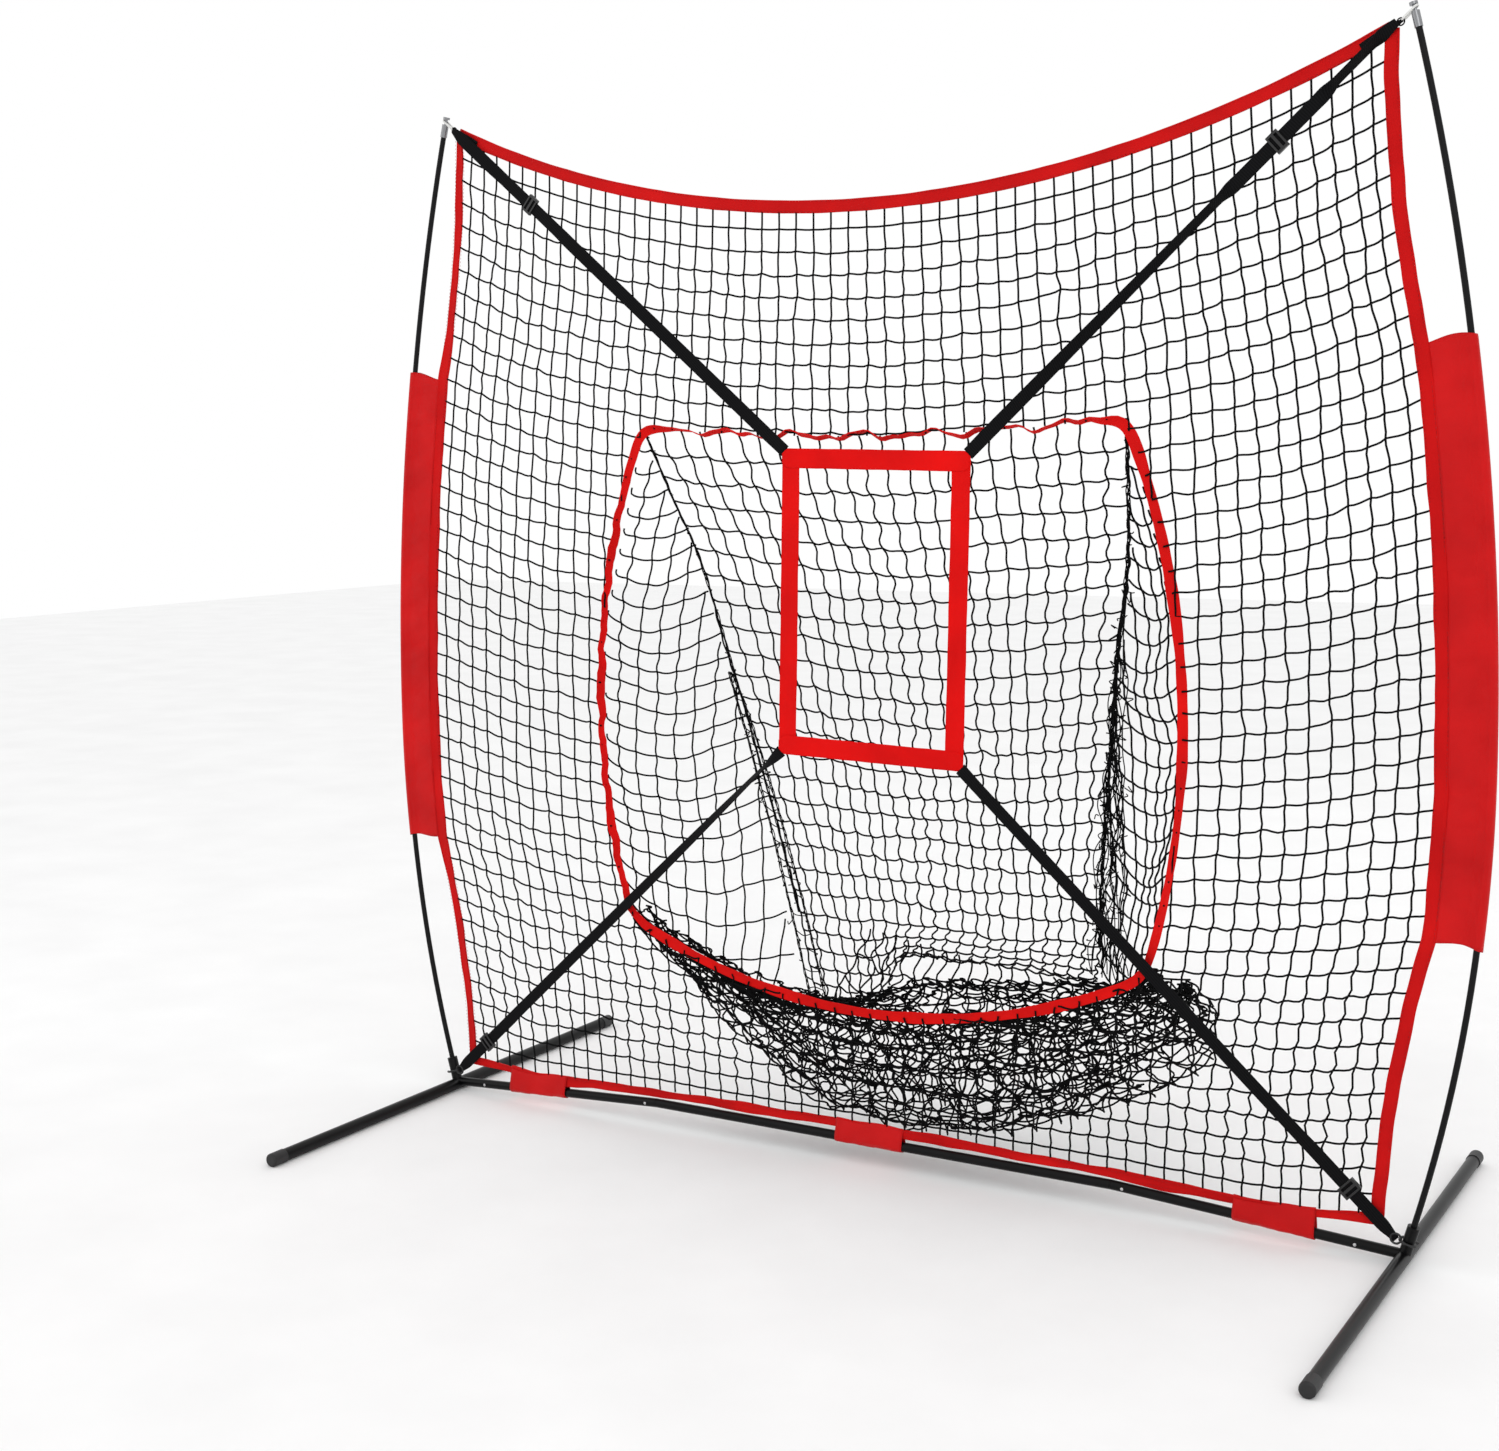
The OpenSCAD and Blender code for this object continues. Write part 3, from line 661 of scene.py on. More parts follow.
# The pocket's sewn corners, from the top of the opening down, then the ledge, the bag's rim and its keel
SEAM_LEFT = np.array([
    (-0.520, 0.004, 1.475), (-0.484, 0.050, 1.340), (-0.446, 0.100, 1.200), (-0.408, 0.150, 1.000),
    (-0.372, 0.195, 0.800), (-0.345, 0.240, 0.620), (-0.318, 0.280, 0.430),
])
SEAM_RIGHT = np.array([
    (0.520, 0.004, 1.475), (0.508, 0.050, 1.340), (0.490, 0.100, 1.215), (0.452, 0.150, 1.010),
    (0.420, 0.200, 0.790), (0.392, 0.245, 0.600), (0.372, 0.285, 0.430),
])
LEDGE = np.array([
    (-0.075, 0.150, 0.445), (0.060, 0.146, 0.425), (0.200, 0.140, 0.408), (0.320, 0.142, 0.396),
    (0.420, 0.140, 0.392),
])
BAG_RIM = np.array([
    (-0.420, 0.190, 0.285), (-0.355, 0.245, 0.250), (-0.285, 0.290, 0.235), (-0.150, 0.300, 0.265),
    (0.050, 0.300, 0.320), (0.260, 0.300, 0.340), (0.430, 0.285, 0.360), (0.560, 0.200, 0.385),
    (0.592, 0.110, 0.400),
])
BAG_KEEL = np.array([
    (-0.500, 0.080, 0.345), (-0.430, 0.115, 0.245), (-0.340, 0.145, 0.155), (-0.225, 0.165, 0.075),
    (-0.110, 0.170, 0.034), (0.050, 0.170, 0.028), (0.200, 0.175, 0.038), (0.330, 0.200, 0.082),
    (0.450, 0.235, 0.130), (0.550, 0.275, 0.180), (0.615, 0.285, 0.235), (0.615, 0.230, 0.300),
])


def curve_at(points, share):
    """Points of a smooth curve through the given ones, share (from 0 to 1) of the way along."""
    fine = smooth_line(np.asarray(points, float), 8)
    steps = np.linalg.norm(np.diff(fine, axis=0), axis=1)
    at = np.concatenate([[0], np.cumsum(steps)]) / steps.sum()
    return np.stack([np.interp(share, at, fine[:, k]) for k in range(3)], -1)


def smooth_line(points, parts=2):
    """The same line, with parts spans in place of each, as a smooth curve through its points."""
    p = np.vstack([2 * points[0] - points[1], points, 2 * points[-1] - points[-2]])
    a, b, c, d = p[:-3], p[1:-2], p[2:-1], p[3:]
    out = []
    for k in range(parts):
        t = k / parts
        square, cube = 2 * a - 5 * b + 4 * c - d, 3 * b - a - 3 * c + d
        out.append(0.5 * (2 * b + (c - a) * t + square * t * t + cube * t ** 3))
    out = np.stack(out, 1).reshape(-1, 3)
    return np.vstack([out, points[-1]])


def swirl(a, b, seed, scale, octaves=3):
    """A smooth random shift in space for every pair of places a, b on a sheet."""
    r = np.random.default_rng(seed)
    out = np.zeros(np.shape(a) + (3,))
    for k in range(octaves):
        f = 2 * math.pi / scale * 1.7 ** k
        for _ in range(3):
            turn = r.uniform(0, 2 * math.pi)
            phase = f * (a * math.cos(turn) + b * math.sin(turn)) + r.uniform(0, 6.28)
            out += np.sin(phase)[..., None] * r.normal(0, 1, 3) / 1.6 ** k
    return out / 3.2


def sheet_threads(place_at, columns, rows, jitter, scallop, curl, seed, last_row=True, fine=6):
    """Threads of a netting sheet, less its first row. place_at gives the point of each (u, v), from 0 to 1."""
    r = np.random.default_rng(seed)
    u = np.linspace(0, 1, columns * fine + 1)
    v = np.linspace(0, 1, rows * fine + 1)
    knots = r.normal(0, jitter, (rows + 1, columns + 1, 3))
    knots[[0, -1]] = 0
    knots[:, [0, -1]] = 0
    at_column, at_row = np.arange(columns + 1), np.arange(rows + 1)
    threads = []
    for j in range(1, rows + 1 if last_row else rows):
        line = place_at(u, np.full(len(u), j / rows))
        soft = np.stack([np.interp(u * columns, at_column, knots[j, :, k]) for k in range(3)], -1)
        phase = (u * columns) % 1
        soft[:, 2] -= 4 * phase * (1 - phase) * scallop * (0.7 + 0.6 * r.random())
        soft[:, 2] += np.sin(2 * math.pi * phase) * r.normal(0, curl * 0.4)
        threads.append(line + soft)
    for i in range(columns + 1):
        line = place_at(np.full(len(v), i / columns), v)
        soft = np.stack([np.interp(v * rows, at_row, knots[:, i, k]) for k in range(3)], -1)
        swing = np.sin(2 * math.pi * v * rows) * r.normal(curl, curl * 0.3)
        soft[:, 0] += swing
        soft[:, 1] += swing * 0.4
        threads.append(line + soft)
    return threads


def back_point(u, v):
    """The sheet that slopes back from the top trim. Its foot folds forward, and hangs on the left."""
    w = np.minimum(v / SHELF, 1)
    left, right = curve_at(SEAM_LEFT, w), curve_at(SEAM_RIGHT, w)
    top = curve_at(TRIM_TOP, u)
    ends_top = TRIM_TOP[0] + (TRIM_TOP[-1] - TRIM_TOP[0]) * u[..., None]
    point = left + (right - left) * u[..., None]
    point += (top - ends_top) * ((1 - w) ** 1.5)[..., None]
    middle = 4 * u * (1 - u)
    point[..., 2] -= 0.030 * middle * np.sin(math.pi * w) ** 0.8
    point[..., 1] += 0.016 * middle * np.sin(math.pi * w)
    t = np.clip((v - SHELF) / (1 - SHELF), 0, 1)
    fold = ease(np.clip((u - 0.20) / 0.22, 0, 1))
    forward = np.array([0.045, -0.140, -0.030])
    down = np.array([0.034, 0.012, -0.196])
    point += t[..., None] * (down + (forward - down) * fold[..., None])
    point[..., 2] -= 0.02 * fold * np.sin(math.pi * t)
    point += swirl(u * 0.8, v * 1.1, 81, 0.55) * (0.007 * np.clip(6 * v, 0, 1))[..., None]
    return point


def gusset_point(sign, seed):
    """A side panel, from the trim (u = 0) back to the seam, and down with v."""
    seam = SEAM_LEFT if sign < 0 else SEAM_RIGHT

    def place_at(u, v):
        front = curve_at(TRIM_SIDE, v) * [sign, 1, 1]
        behind = curve_at(seam, v)
        behind[..., 2] -= (0.19 if sign < 0 else 0.03) * np.clip((v - 0.8) / 0.2, 0, 1) ** 1.5
        point = front + (behind - front) * u[..., None]
        wide = np.linalg.norm(behind - front, axis=-1)
        middle = 4 * u * (1 - u)
        point[..., 2] -= middle * wide * 0.16
        point[..., 0] += sign * middle * wide * 0.05
        fade = np.clip(5 * u, 0, 1) * np.clip(4 * v, 0, 1)
        point += swirl(u * wide, v * 1.1, seed, 0.30) * (0.010 * fade)[..., None]
        return point
    return place_at


def gusset_threads(sign, seed, pitch=0.041, rows=24, fine=6):
    """Threads of a side panel: rows from the trim back to the seam, and columns a cell apart."""
    r = np.random.default_rng(seed + 50)
    place_at = gusset_point(sign, seed)
    v = np.linspace(0, 1, rows * fine + 1)
    wide = np.linalg.norm(place_at(np.ones_like(v), v) - place_at(np.zeros_like(v), v), axis=-1)
    threads = []
    for j in range(1, rows + 1):
        cells = max(wide[j * fine] / pitch, 0.5)
        u = np.linspace(0, 1, int(cells * fine) + 2)
        line = place_at(u, np.full(len(u), j / rows))
        phase = (u * cells) % 1
        line[:, 2] -= 4 * phase * (1 - phase) * 0.0026 * (0.7 + 0.6 * r.random())
        threads.append(line)
    for i in range(1, int(wide.max() / pitch) + 1):
        reached = wide > i * pitch + 0.004
        shown = v[reached]
        if len(shown) > 3:
            line = place_at(i * pitch / wide[reached], shown)
            line[:, 0] += np.sin(2 * math.pi * shown * rows) * r.normal(0.0020, 0.0006)
            threads.append(line)
    return threads


def bag_point(shrink, seed, size):
    """The bag at the pocket's foot, from the low trim (v = 0) round under and up to the rim behind."""
    def place_at(u, v):
        front = curve_at(TRIM_LOW, u)
        keel = curve_at(BAG_KEEL, u)
        rim = curve_at(BAG_RIM, u)
        low = np.where((v < 0.5)[..., None], front, rim)
        t = np.abs(v - 0.5) * 2
        drop = 1 - (1 - t) ** 1.9
        out = 1 - np.sqrt(np.clip(1 - (1 - t) ** 2, 0, 1))
        point = keel + (low - keel) * np.stack([1 - (1 - t) ** 1.5, 1 - out, drop], -1)
        point[..., 1] = keel[..., 1] + (low[..., 1] - keel[..., 1]) * np.sin(t * math.pi / 2) ** 0.8
        point = keel + (point - keel) * [1, shrink, 1]
        point[..., 2] += (1 - shrink) * 0.22 * (1 - t)
        fade = np.clip(np.minimum(v, 1 - v) * 7, 0, 1) if shrink == 1 else np.clip(v * 7, 0, 1)
        point += swirl(u * 1.3, v * 1.0, seed, 0.30) * (size * fade)[..., None]
        return point
    return place_at


def tangle_point(u, v):
    """Slack netting that hangs in from the ledge and lies in folds in the bag."""
    top = curve_at(LEDGE, u)
    foot_x = -0.28 + 0.82 * u
    floor = np.interp(foot_x, BAG_KEEL[:, 0][:-1], BAG_KEEL[:, 2][:-1]) + 0.05
    t = v ** 0.9
    point = top.copy()
    point[..., 0] += (foot_x - top[..., 0]) * t
    point[..., 1] += (0.07 - top[..., 1]) * t ** 1.8
    point[..., 2] += (floor - top[..., 2]) * np.sin(t * math.pi / 2)
    point += swirl(u * 0.9, v * 0.6, 93, 0.20) * (0.022 * np.clip(5 * v, 0, 1))[..., None]
    return point


def bounded(points, behind=0.008):
    """Keeps a thread off the ground, behind the front netting and inside the pocket's depth."""
    points = points.copy()
    x_limit = np.interp(points[:, 2], [GROUND, 0.20, 1.05, 1.475], [0.450, 0.622, 0.628, 0.520])
    points[:, 0] = np.clip(points[:, 0], -x_limit, x_limit)
    front = behind + 0.10 * np.clip(0.22 - points[:, 2], 0, 1)
    points[:, 1] = np.clip(points[:, 1], front, POCKET_BACK)
    points[:, 2] = np.clip(points[:, 2], GROUND, 1.474)
    return points


def make_pocket():
    """The sheet at the back and the two side panels."""
    threads = sheet_threads(back_point, 23, 25, 0.0022, 0.0030, 0.0026, 101, last_row=False)
    for sign, seed in ((-1, 83), (1, 84)):
        threads += gusset_threads(sign, seed)
    obj = twine("pocket_netting", [bounded(t) for t in threads], net_twine)
    belongs(obj, "net_pocket")


def make_bag():
    """The bag's outer layer, the slack layer inside it, and what hangs in from the ledge."""
    threads = sheet_threads(bag_point(1.0, 91, 0.010), 29, 21, 0.0040, 0.0050, 0.0040, 105)
    threads += sheet_threads(bag_point(0.74, 92, 0.017), 27, 15, 0.0050, 0.0060, 0.0050, 106)
    threads += sheet_threads(tangle_point, 17, 9, 0.0050, 0.0050, 0.0050, 107)
    obj = twine("pocket_bag", [bounded(t) for t in threads], net_twine)
    belongs(obj, None)


make_pocket()
make_bag()


def seam_bundle(line, strands, size, seed, twist=70.0):
    """Threads twisted round a line."""
    s = np.concatenate([[0], np.cumsum(np.linalg.norm(np.diff(line, axis=0), axis=1))])
    made = []
    for k in range(strands):
        phase = 6.28 * k / strands
        swell = size * (0.8 + 0.5 * wave(s, seed + k, 0.18))
        around, lift = s * twist + phase, 0.4 * np.sin(s * 0.8 * twist + phase)
        off = np.stack([np.cos(around), np.sin(around), lift], 1)
        made.append(line + off * swell[:, None])
    return made


def curls(line, reach, seed, every):
    """Little loops of slack thread along a line."""
    r = np.random.default_rng(seed)
    made = []
    for i in range(2, len(line) - 2, every):
        a = line[i] + r.normal(0, 0.002, 3)
        b = a + r.normal(0, reach, 3) + [0, 0, -0.4 * reach]
        c = a + (b - a) * 0.4 + r.normal(0, 0.6 * reach, 3)
        made.append(smooth_line(np.array([a, b, c]), 3))
    return made


def make_seams():
    """The pocket's sewn corners, the ladder beside the left one and the bunched netting at the right one."""
    r = np.random.default_rng(5)
    share = np.linspace(0, 1, 150)
    left, right = curve_at(SEAM_LEFT, share), curve_at(SEAM_RIGHT, share)
    strands = seam_bundle(left, 3, 0.0022, 20) + seam_bundle(right, 4, 0.0034, 30)
    strands += curls(left, 0.004, 21, 6) + curls(right, 0.005, 31, 4)
    low = left[70:] + np.array([0.0, 0.0, -0.03])
    drop = np.linspace(0, 1, len(low))[:, None]
    ladder = low + np.array([0.046, 0.004, -0.03]) * np.sqrt(drop) + np.array([0.02, 0, -0.14]) * drop ** 2
    strands += seam_bundle(ladder, 3, 0.0026, 40) + curls(ladder, 0.006, 41, 3)
    second = low - np.array([0.004, 0.0, 0.0]) + np.array([0.035, 0, -0.17]) * drop ** 2
    strands += seam_bundle(second, 3, 0.0026, 50) + curls(second, 0.006, 51, 4)
    for i in range(4, len(low) - 2, 4):
        middle = (second[i] + ladder[i]) / 2 + r.normal(0, 0.004, 3)
        strands.append(smooth_line(np.array([second[i], middle, ladder[i]]), 3))
    for k in range(13):
        start = int(r.uniform(38, 78))
        line = right[start:].copy()
        t = np.linspace(0, 1, len(line))
        spread_to = (-0.035 + 0.0115 * k) * np.array([0.72, -0.50, 0.0])
        line += spread_to * (t ** 0.8)[:, None]
        line[:, 2] -= 0.05 * t * r.uniform(0.3, 1.5)
        s = t * 1.1 * (1 - start / 150)
        line += swirl(s, np.full(len(s), 0.31 * k), 60, 0.16) * (0.010 * np.clip(4 * t, 0, 1))[:, None]
        strands.append(line)
        strands += curls(line, 0.010, 70 + k, 7)
    obj = twine("pocket_seams", [bounded(s) for s in strands], net_twine, 0.0012)
    belongs(obj, None)


make_seams()


# ---------------------------------------------------------------- hems, trim and wraps
DEPTH = np.array([0.0, 1.0, 0.0])
TRIM_THICK = 0.0014
BAR_MIDDLE_X, BAR_MIDDLE_Z, BAR_END_Z = 0.510, 0.050, 0.0186
WRAP_AT = {"left": -0.820, "center": 0.0, "right": 0.820}
WRAP_WIDE, WRAP_ROUND = 0.150, 0.125


def leaning(flat_side, lean):
    """Width directions that lean out of the net's plane, lean in radians."""
    return flat_side * np.cos(lean)[:, None] + DEPTH * np.sin(lean)[:, None]


def hem(name, line, node_name, width, lean):
    """A folded tape along a line of the net's plane. width and lean are given along it."""
    points = flat3(line)
    flat_side = unit(np.cross(tangents(points), DEPTH))
    wide = leaning(flat_side, lean)
    section = np.stack([band(w, HEM_THICK, 0.0004) for w in width])
    obj = sweep(name, points, wide, section, red_tape)
    belongs(obj, node_name)


def make_hems():
    count = 240
    s = np.linspace(0, 1, count)
    top = resample(TOP_LINE, count)
    top_width = HEM_WIDE * (1 - 0.06 * np.abs(wave(s, 31, 0.2)))
    hem("top_hem", top, "hem_top", top_width, 0.10 * wave(s, 32, 0.35))
    x = np.linspace(-BOTTOM_CORNER[0], BOTTOM_CORNER[0], count)
    low = np.stack([x, bottom_z(x)], 1)
    low[:, 1] += 0.0015 * wave(x, 33, 0.3)
    fold = 0.75 + 0.2 * wave(x, 34, 0.45)
    hem("bottom_hem", low, "hem_bottom", HEM_WIDE * np.clip(fold, 0.5, 1), 0.35 * wave(x, 35, 0.6))
    for name, sign, seed in (("left", -1, 41), ("right", 1, 42)):
        line = resample(SIDE, count)
        z = line[:, 1]
        line[:, 0] += 0.0012 * wave(z, seed, 0.25)
        if sign < 0:
            line = line * MIRROR
        free = np.clip(np.abs(z - SLEEVE_MIDDLE) - 0.52, 0, 0.1) / 0.1
        narrow = 1 - (0.40 if sign < 0 else 0.04) * free * (0.8 + 0.2 * wave(z, seed + 4, 0.3))
        hem(f"{name}_hem", line, f"hem_{name}", HEM_WIDE * narrow, 0.12 * wave(z, seed + 8, 0.4))


make_hems()


def make_trim():
    """The opening's tape: nearly edge on along the top, flat on the right and along the bottom."""
    count = 420
    line = resample(OPENING, count, closed=True)
    x, z = line[:, 0], line[:, 1]
    s = np.linspace(0, 4.3, count, endpoint=False)
    fade = np.clip(np.minimum(np.arange(count), count - np.arange(count)) / 20.0, 0, 1)
    top = np.clip((z - 1.40) / 0.04, 0, 1) * np.clip((0.50 - np.abs(x)) / 0.05, 0, 1)
    left = np.clip((-x - 0.5) / 0.08, 0, 1)
    right_low = np.clip((x - 0.52) / 0.04, 0, 1) * np.clip((0.95 - z) / 0.2, 0, 1)
    right_low = right_low * np.clip((z - 0.42) / 0.1, 0, 1)
    points = flat3(line, 0.001)
    inward = unit(flat3(line - [0.0, 0.95], 0.0)) * -1
    points[:, 2] += fade * top * 0.010 * wave(s, 50, 0.17)
    points += inward * (fade * left * 0.004 * wave(s, 51, 0.11))[:, None]
    lean = 1.15 * top + 0.75 * left + 0.55 * right_low
    lean = lean + fade * (0.35 * top + 0.30 * left + 0.1) * wave(s, 52, 0.2)
    lean = np.convolve(np.concatenate([lean[-4:], lean, lean[:4]]), np.ones(9) / 9, "valid")
    wide = leaning(inward, lean)
    width = TRIM_WIDE * (0.82 - 0.22 * top - 0.2 * left + 0.14 * fade * wave(s, 53, 0.3))
    section = np.stack([band(w, TRIM_THICK, 0.0003) for w in width])
    obj = sweep("opening_tape", points, wide, section, trim_cloth, closed=True)
    belongs(obj, "opening_trim")


make_trim()


def bar_axis(x):
    """Height of the crossbar's axis at x."""
    slope = (BAR_MIDDLE_Z - BAR_END_Z) / (FOOT[0] - BAR_MIDDLE_X)
    return BAR_MIDDLE_Z - slope * np.maximum(np.abs(x) - BAR_MIDDLE_X, 0)


def make_wrap(name, x_middle, seed):
    """A cloth loop that holds the bottom hem down on the crossbar."""
    xs = np.linspace(x_middle - WRAP_WIDE / 2, x_middle + WRAP_WIDE / 2, 26)
    ring = 36
    verts = []
    for i, x in enumerate(xs):
        axis = bar_axis(x)
        top = bottom_z(x) + HEM_WIDE * 0.42 + 0.0012 * math.sin(9 * i / 26 + seed)
        swell = 0.0014 * wave(np.array([x]), seed, 0.06)[0]
        r = 0.0112 + 0.5 * swell
        for k in range(ring):
            a = 2 * math.pi * k / ring
            low = np.array([-math.sin(a) * r, -math.cos(a) * r])
            if math.cos(a) < -0.05:
                lift = (-math.cos(a)) ** 0.8
                side = -math.sin(a) * (r * (1 - lift) + 0.0032 * lift)
                low = np.array([side, (top - axis) * lift + 0.002 * (1 - lift)])
            crease = 0.0007 * math.sin(3 * a + 40 * x + seed)
            verts.append((x, low[0] * (1 + crease / 0.01), axis + low[1]))
    obj = link_mesh(name, verts, tube_faces(len(xs), ring), red_cloth)
    return thicken(obj, 0.0007)


def thicken(obj, thick):
    """Gives a single surface its cloth's thickness."""
    solid = obj.modifiers.new("cloth", "SOLIDIFY")
    solid.thickness = thick
    solid.offset = 0.0
    bpy.context.view_layer.objects.active = obj
    with bpy.context.temp_override(object=obj, active_object=obj):
        bpy.ops.object.modifier_apply(modifier=solid.name)
    obj.data.polygons.foreach_set("use_smooth", [True] * len(obj.data.polygons))
    return obj


def make_wraps():
    for seed, (name, x) in enumerate(WRAP_AT.items(), 1):
        obj = make_wrap(f"crossbar_wrap_{name}", x, seed)
        belongs(obj, f"bar_wrap_{name}")


make_wraps()


# ---------------------------------------------------------------- sleeves
def make_sleeve(name, sign, seed):
    """A doubled cloth panel from the side hem out round the pole, with soft slanting creases."""
    stations, around = 150, 40
    r = np.random.default_rng(seed)
    folds = [
        (r.uniform(0.10, 0.30), r.uniform(-0.5, 0.5), r.uniform(0, 6.28), r.uniform(0.4, 1)) for _ in range(7)
    ]
    verts = []
    for i in range(stations):
        z = SLEEVE_LOW + (SLEEVE_HIGH - SLEEVE_LOW) * i / (stations - 1)
        pole = ring_point(z)
        hem_at = ring_point(z, SLEEVE_DEEP - 0.010)
        direction = (pole - hem_at) / np.linalg.norm(pole - hem_at)
        reach = np.linalg.norm(pole - hem_at)
        end = min(i, stations - 1 - i) / (stations - 1)
        for k in range(around):
            t = k / (around - 1) * 2 - 1
            side = -1 if t < 0 else 1
            s = 1 - abs(t)
            radius = 0.0098
            bulge = 0.0024 * math.sin(math.pi * min(s / 0.75, 1)) + 0.0016
            if s < 0.72:
                q = s / 0.72
                along = reach * q * 0.93
                turned = ease(max(0.0, (q - 0.72) / 0.28))
                out = bulge * (1 - turned) + radius * 0.80 * turned
            else:
                a = (s - 0.72) / 0.28 * (math.pi / 2 + 0.64)
                along = reach + radius * math.sin(a - 0.64)
                out = radius * math.cos(a - 0.64)
            flat = math.sin(math.pi * min(1, s / 0.8)) ** 0.8
            crease = 0.0
            for wavelength, slant, phase, size in folds:
                c = math.sin(2 * math.pi * (z + slant * along) / wavelength + phase)
                crease += size * (1 - abs(c)) ** 2
            crease = (crease - 1.4) * 0.0030 * flat * min(1, end * 9 + 0.25)
            across = out * side + crease
            point = hem_at + direction * (along + 0.0010 * math.sin(40 * z + seed) * flat)
            verts.append((sign * point[0], across, point[1] + 0.004 * math.sin(5 * s + seed) * (end < 0.004)))
    faces = []
    for i in range(stations - 1):
        for k in range(around - 1):
            a = i * around + k
            face = (a, a + 1, a + around + 1, a + around)
            faces.append(face if sign > 0 else tuple(reversed(face)))
    obj = link_mesh(name, verts, faces, red_cloth)
    thicken(obj, 0.0008)
    return obj


def make_sleeves():
    for name, sign, seed in (("left", -1, 61), ("right", 1, 62)):
        obj = make_sleeve(f"pole_sleeve_{name}", sign, seed)
        belongs(obj, f"sleeve_{name}")


make_sleeves()


# ---------------------------------------------------------------- strike zone and its straps
ZONE_BAND = 0.039
zone_low, zone_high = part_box("strike_zone")
STRAP_Y = (zone_low.y + zone_high.y) / 2
ZONE_MIDDLE = np.array([(zone_low.x + zone_high.x) / 2, (zone_low.z + zone_high.z) / 2])
ZONE_SIZE = np.array([0.405, 0.606])
ZONE_TURN = math.radians(1.4)


def zone_corner(sx, sz, inset=0.0):
    x, z = sx * (ZONE_SIZE[0] / 2 - inset), sz * (ZONE_SIZE[1] / 2 - inset)
    c, s = math.cos(ZONE_TURN), math.sin(ZONE_TURN)
    return ZONE_MIDDLE + np.array([x * c + z * s, -x * s + z * c])


def make_zone():
    """Four bands of doubled red cloth, lapped and sewn at the corners."""
    half = ZONE_BAND / 2
    corners = [zone_corner(sx, sz, half) for sx, sz in ((-1, 1), (1, 1), (1, -1), (-1, -1))]
    for k, name in enumerate(("top", "right", "bottom", "left")):
        a, b = corners[k], corners[(k + 1) % 4]
        d = (b - a) / np.linalg.norm(b - a)
        across = np.array([-d[1], d[0]])
        stretch = half if k % 2 == 0 else half * 0.98
        n = 60
        line = np.linspace(a - d * stretch, b + d * stretch, n)
        s = np.linspace(0, 1, n)
        points = flat3(line, STRAP_Y + (0.0007 if k % 2 else -0.0005))
        points[:, 1] += 0.0006 * wave(s, 70 + k, 0.4)
        wide = flat3([across])[0]
        width = ZONE_BAND * (1 - 0.03 * np.abs(wave(s, 75 + k, 0.5)))
        end = np.minimum(s, 1 - s)
        taper = np.clip(end * np.linalg.norm(b - a) / 0.012, 0, 1)
        width = width * (0.45 + 0.55 * taper ** 0.7)
        section = np.stack([band(w, ZONE_THICK * 0.55, 0.0002) for w in width])
        obj = sweep(f"zone_band_{name}", points, wide, section, zone_cloth)
        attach(obj, "strike_zone")
        if name == "top":
            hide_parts("strike_zone")


make_zone()

EYE_LEVEL = 0.0556
EYE_X = 1.0287
# Each strap's anchor, the corner of the zone it goes to, and how far from the anchor its adjuster is
STRAPS = {
    "top_left": (TOP_CORNER * MIRROR, (-1, 1), 0.247),
    "top_right": (TOP_CORNER, (1, 1), 0.247),
    "bottom_left": (np.array([-EYE_X, EYE_LEVEL]), (-1, -1), 0.100),
    "bottom_right": (np.array([EYE_X, EYE_LEVEL]), (1, -1), 0.100),
}
# How far each strap leans, in radians, by its adjuster and by the zone
STRAP_TURN = {
    "top_left": (0.35, 0.1), "top_right": (1.28, 0.15),
    "bottom_left": (0.1, 1.15), "bottom_right": (0.1, 0.15),
}
STRAP_TAIL = 0.013
FLAT_REACH, FLAT_EASE = 0.085, 0.05


def make_strap(key):
    """A strap from its anchor to the zone's corner, doubled to its adjuster and flat along its travel."""
    anchor, (sx, sz), adjuster_at = STRAPS[key]
    corner = zone_corner(sx, sz, 0.006)
    d = corner - anchor
    run = np.linalg.norm(d)
    d = d / run
    across = np.array([-d[1], d[0]])
    s = np.linspace(-STRAP_TAIL, run, 130)
    line = anchor + d * s[:, None]
    near_adjuster = ease(1 - np.clip((np.abs(s - adjuster_at) - FLAT_REACH) / FLAT_EASE, 0, 1))
    turn_a, turn_b = STRAP_TURN[key]
    lean = turn_a + (turn_b - turn_a) * np.clip((s - adjuster_at) / (run - adjuster_at), 0, 1) ** 2
    ends = np.clip(np.minimum(s + STRAP_TAIL, run - s) / 0.05, 0, 1)
    lean = lean * (1 - near_adjuster) * ends
    points = flat3(line, STRAP_Y)
    points[:, 1] += -0.0015 * (1 - near_adjuster) * ends - 0.004 * np.sin(np.abs(lean)) ** 2
    wide = leaning(flat3([across])[0], lean)
    gather = np.clip((s + STRAP_TAIL) / 0.030, 0, 1)
    doubled = np.clip((adjuster_at + 0.004 - s) / 0.004, 0, 1)
    widths, thicks = STRAP_WIDE * (0.5 + 0.5 * gather), STRAP_THICK * (1 + 0.25 * doubled)
    section = np.stack([band(w, thick) for w, thick in zip(widths, thicks)])
    obj = sweep(f"strap_{key}_webbing", points, wide, section, black_web)
    return obj, flat3([anchor], STRAP_Y)[0], flat3([corner], STRAP_Y)[0], run


def make_straps():
    for key in STRAPS:
        obj, start, end, run = make_strap(key)
        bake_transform(obj)
        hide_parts(f"strap_{key}")


make_straps()


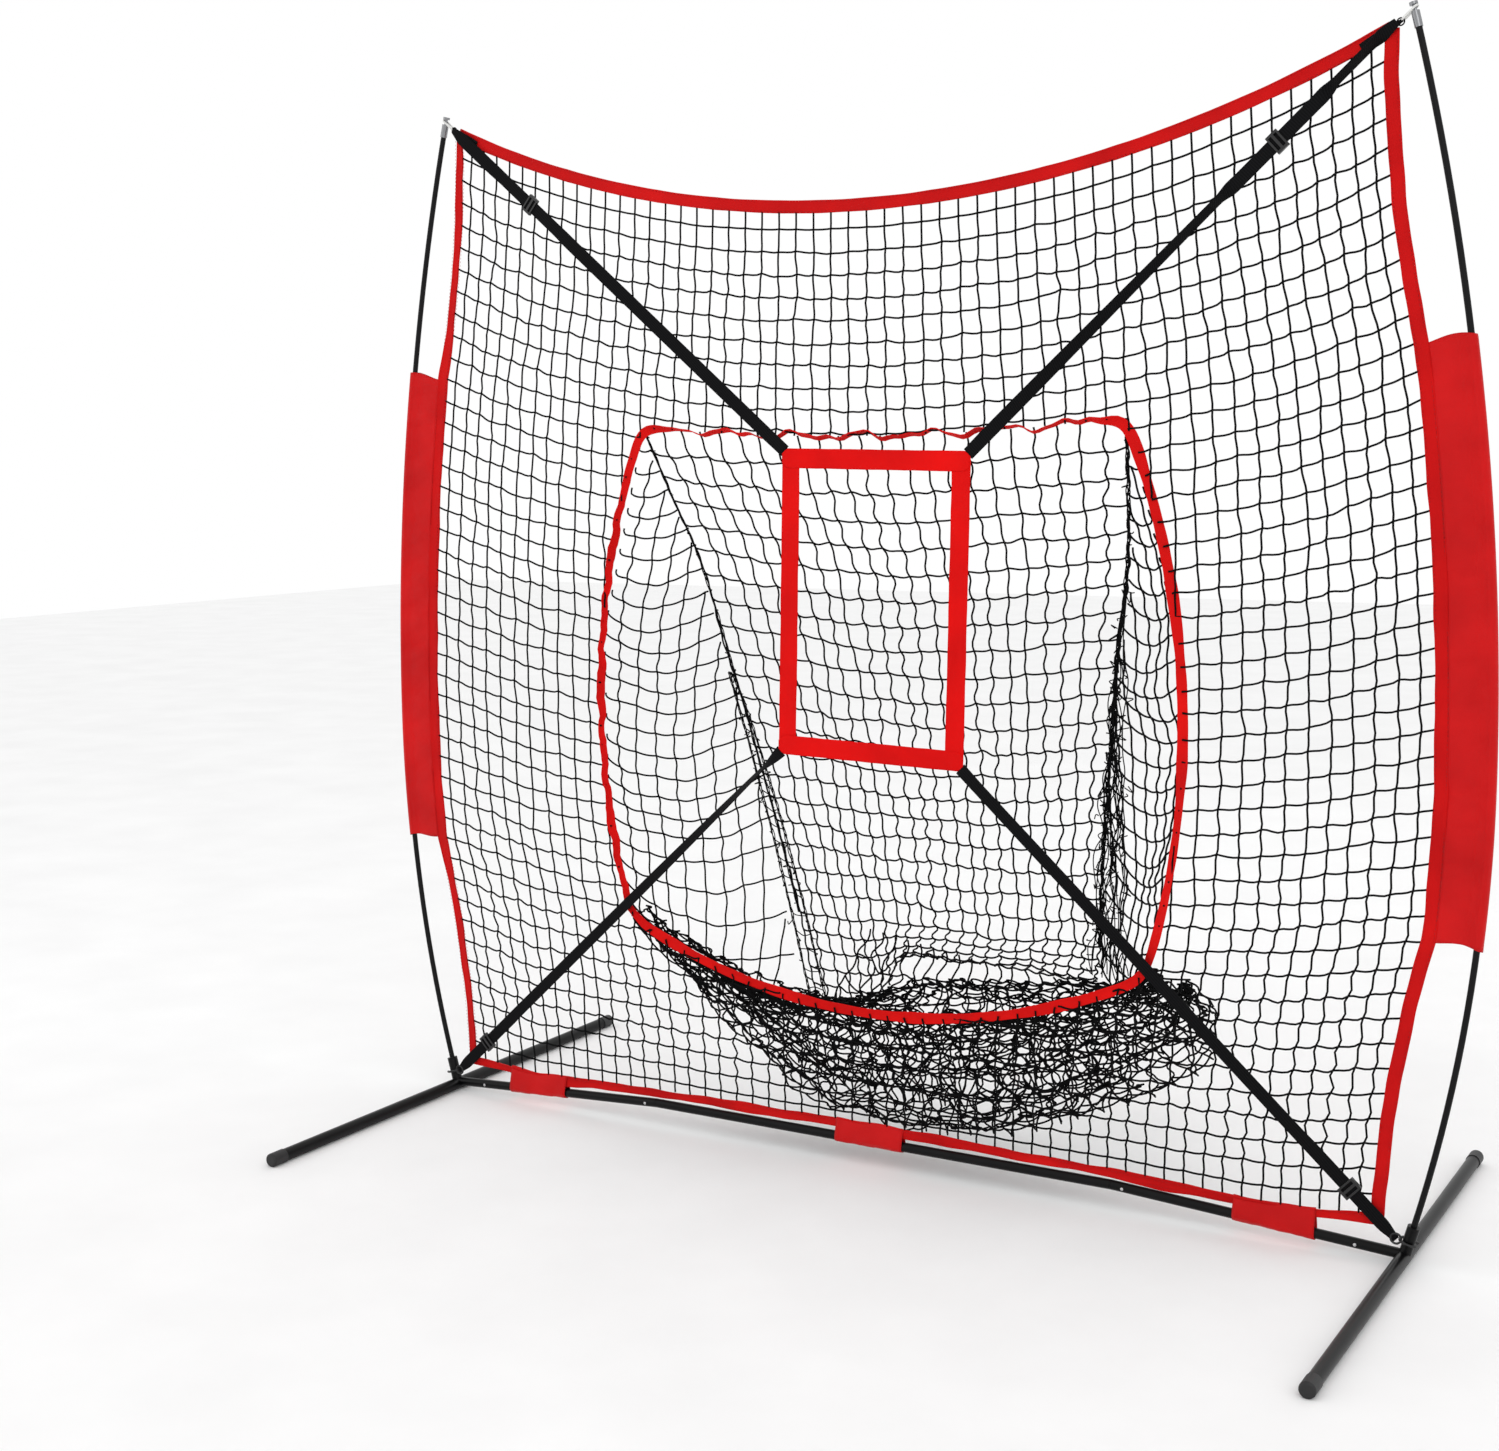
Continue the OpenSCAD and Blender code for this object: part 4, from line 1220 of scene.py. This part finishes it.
def make_springs():
    """The leaf springs inside the crossbar, whose front legs go in with their buttons."""
    for name in ("hub_left", "hub_right", "mid_left", "mid_right"):
        cad = nodes[f"spring_{name}"]
        obj = link(f"leaf_spring_{name}", cad.data.copy())
        obj.matrix_world = cad.matrix_world
        low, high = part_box(f"spring_{name}")
        middle = (low + high) / 2
        fixed, moving = middle.copy(), middle.copy()
        fixed.y, moving.y = high.y - 0.001, low.y + 0.002
        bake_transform(obj)
        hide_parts(f"spring_{name}")


make_springs()


TAB_WIDE = 0.013


def make_corner_tabs():
    """Short webbing loops that join each top corner of the net to the ring below the pole's tip."""
    for name, sign in (("left", -1), ("right", 1)):
        low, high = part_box(f"corner_loop_{name}")
        ring = np.array([(low.x + high.x) / 2, (low.z + high.z) / 2])
        corner = np.array([sign * TOP_CORNER[0], TOP_CORNER[1]])
        d = unit(ring - corner)
        across = np.array([-d[1], d[0]])
        for k, shift in enumerate((-0.0045, 0.0045)):
            line = np.linspace(corner - d * 0.055, ring + d * 0.004, 24)
            t = np.linspace(0, 1, 24)
            points = flat3(line + across * (shift * (1 - t ** 2))[:, None], -0.0045)
            points[:, 1] += np.where(t > 0.55, (t - 0.55) * 0.010, 0) * (1 if k else 0.3)
            wide = flat3([across])[0] * 0.94 + DEPTH * 0.34
            width = np.interp(t, [0, 0.6, 1], [0.016, TAB_WIDE, 0.006])
            section = np.stack([band(w, 0.0016) for w in width])
            obj = sweep(f"corner_tab_{name}_{k + 1}", points, wide, section, black_web)
            belongs(obj, None)


make_corner_tabs()


STITCH_PITCH, STITCH_HALF, STITCH_R = 0.0075, 0.0019, 0.00042


def make_stitching():
    """Lockstitch dashes along both edges of every hem, on both faces."""
    runs = []
    half = HEM_WIDE / 2 - 0.0032
    lines = [(TOP_LINE, half), (SIDE, half), (SIDE * MIRROR, half)]
    x = np.linspace(-BOTTOM_CORNER[0], BOTTOM_CORNER[0], 60)
    lines.append((np.stack([x, bottom_z(x)], 1), half * 0.6))
    for line, reach in lines:
        points = resample(line, int(length(line) / STITCH_PITCH))
        t = tangents(points)
        normal = np.stack([-t[:, 1], t[:, 0]], 1)
        for side in (-1, 1):
            for face in (-1, 1):
                at = points + normal * side * reach
                for i in range(2, len(at) - 2):
                    a, b = at[i] - t[i] * STITCH_HALF, at[i] + t[i] * STITCH_HALF
                    y = face * (HEM_THICK / 2 + 0.00045)
                    runs.append(flat3([a, (a + b) / 2, b], y))
    obj = twine("hem_stitching", runs, thread, STITCH_R, 4)
    belongs(obj, None)


make_stitching()


# ---------------------------------------------------------------- floor and light
def make_stage():
    corners = [(-14, -12, 0), (14, -12, 0), (14, 16, 0), (-14, 16, 0)]
    floor = link_mesh("floor", corners, [(0, 1, 2, 3)], floor_look())
    world = bpy.data.worlds.new("studio")
    bpy.context.scene.world = world
    world.use_nodes = True
    background = world.node_tree.nodes["Background"].inputs
    background["Color"].default_value = (1.0, 1.0, 1.0, 1)
    background["Strength"].default_value = 1.0
    lamp("key", (3.2, -4.5, 4.2), (0, 0, 1.0), 2.6, 38)
    lamp("fill", (-4.0, -3.0, 2.6), (0, 0, 1.0), 3.0, 14)
    lamp("back", (0.5, 4.0, 3.6), (0, 0, 1.0), 2.5, 12)


def floor_look():
    def build(tree, shader):
        grain = noise(tree, 3.0, 4.0)
        tint(tree, shader, grain, (0.90, 0.90, 0.90), (0.94, 0.94, 0.94))
        shader.inputs["Roughness"].default_value = 0.9
        shader.inputs["Specular IOR Level"].default_value = 0.1
    return material("pale_floor", build)


def lamp(name, at, target, size, power):
    data = bpy.data.lights.new(name, "AREA")
    data.size = size
    data.energy = power
    obj = link(name, data)
    aim = (Vector(target) - Vector(at)).to_track_quat("-Z", "Y")
    obj.matrix_world = Matrix.Translation(at) @ aim.to_matrix().to_4x4()


make_stage()
bpy.context.scene.view_settings.view_transform = "Standard"
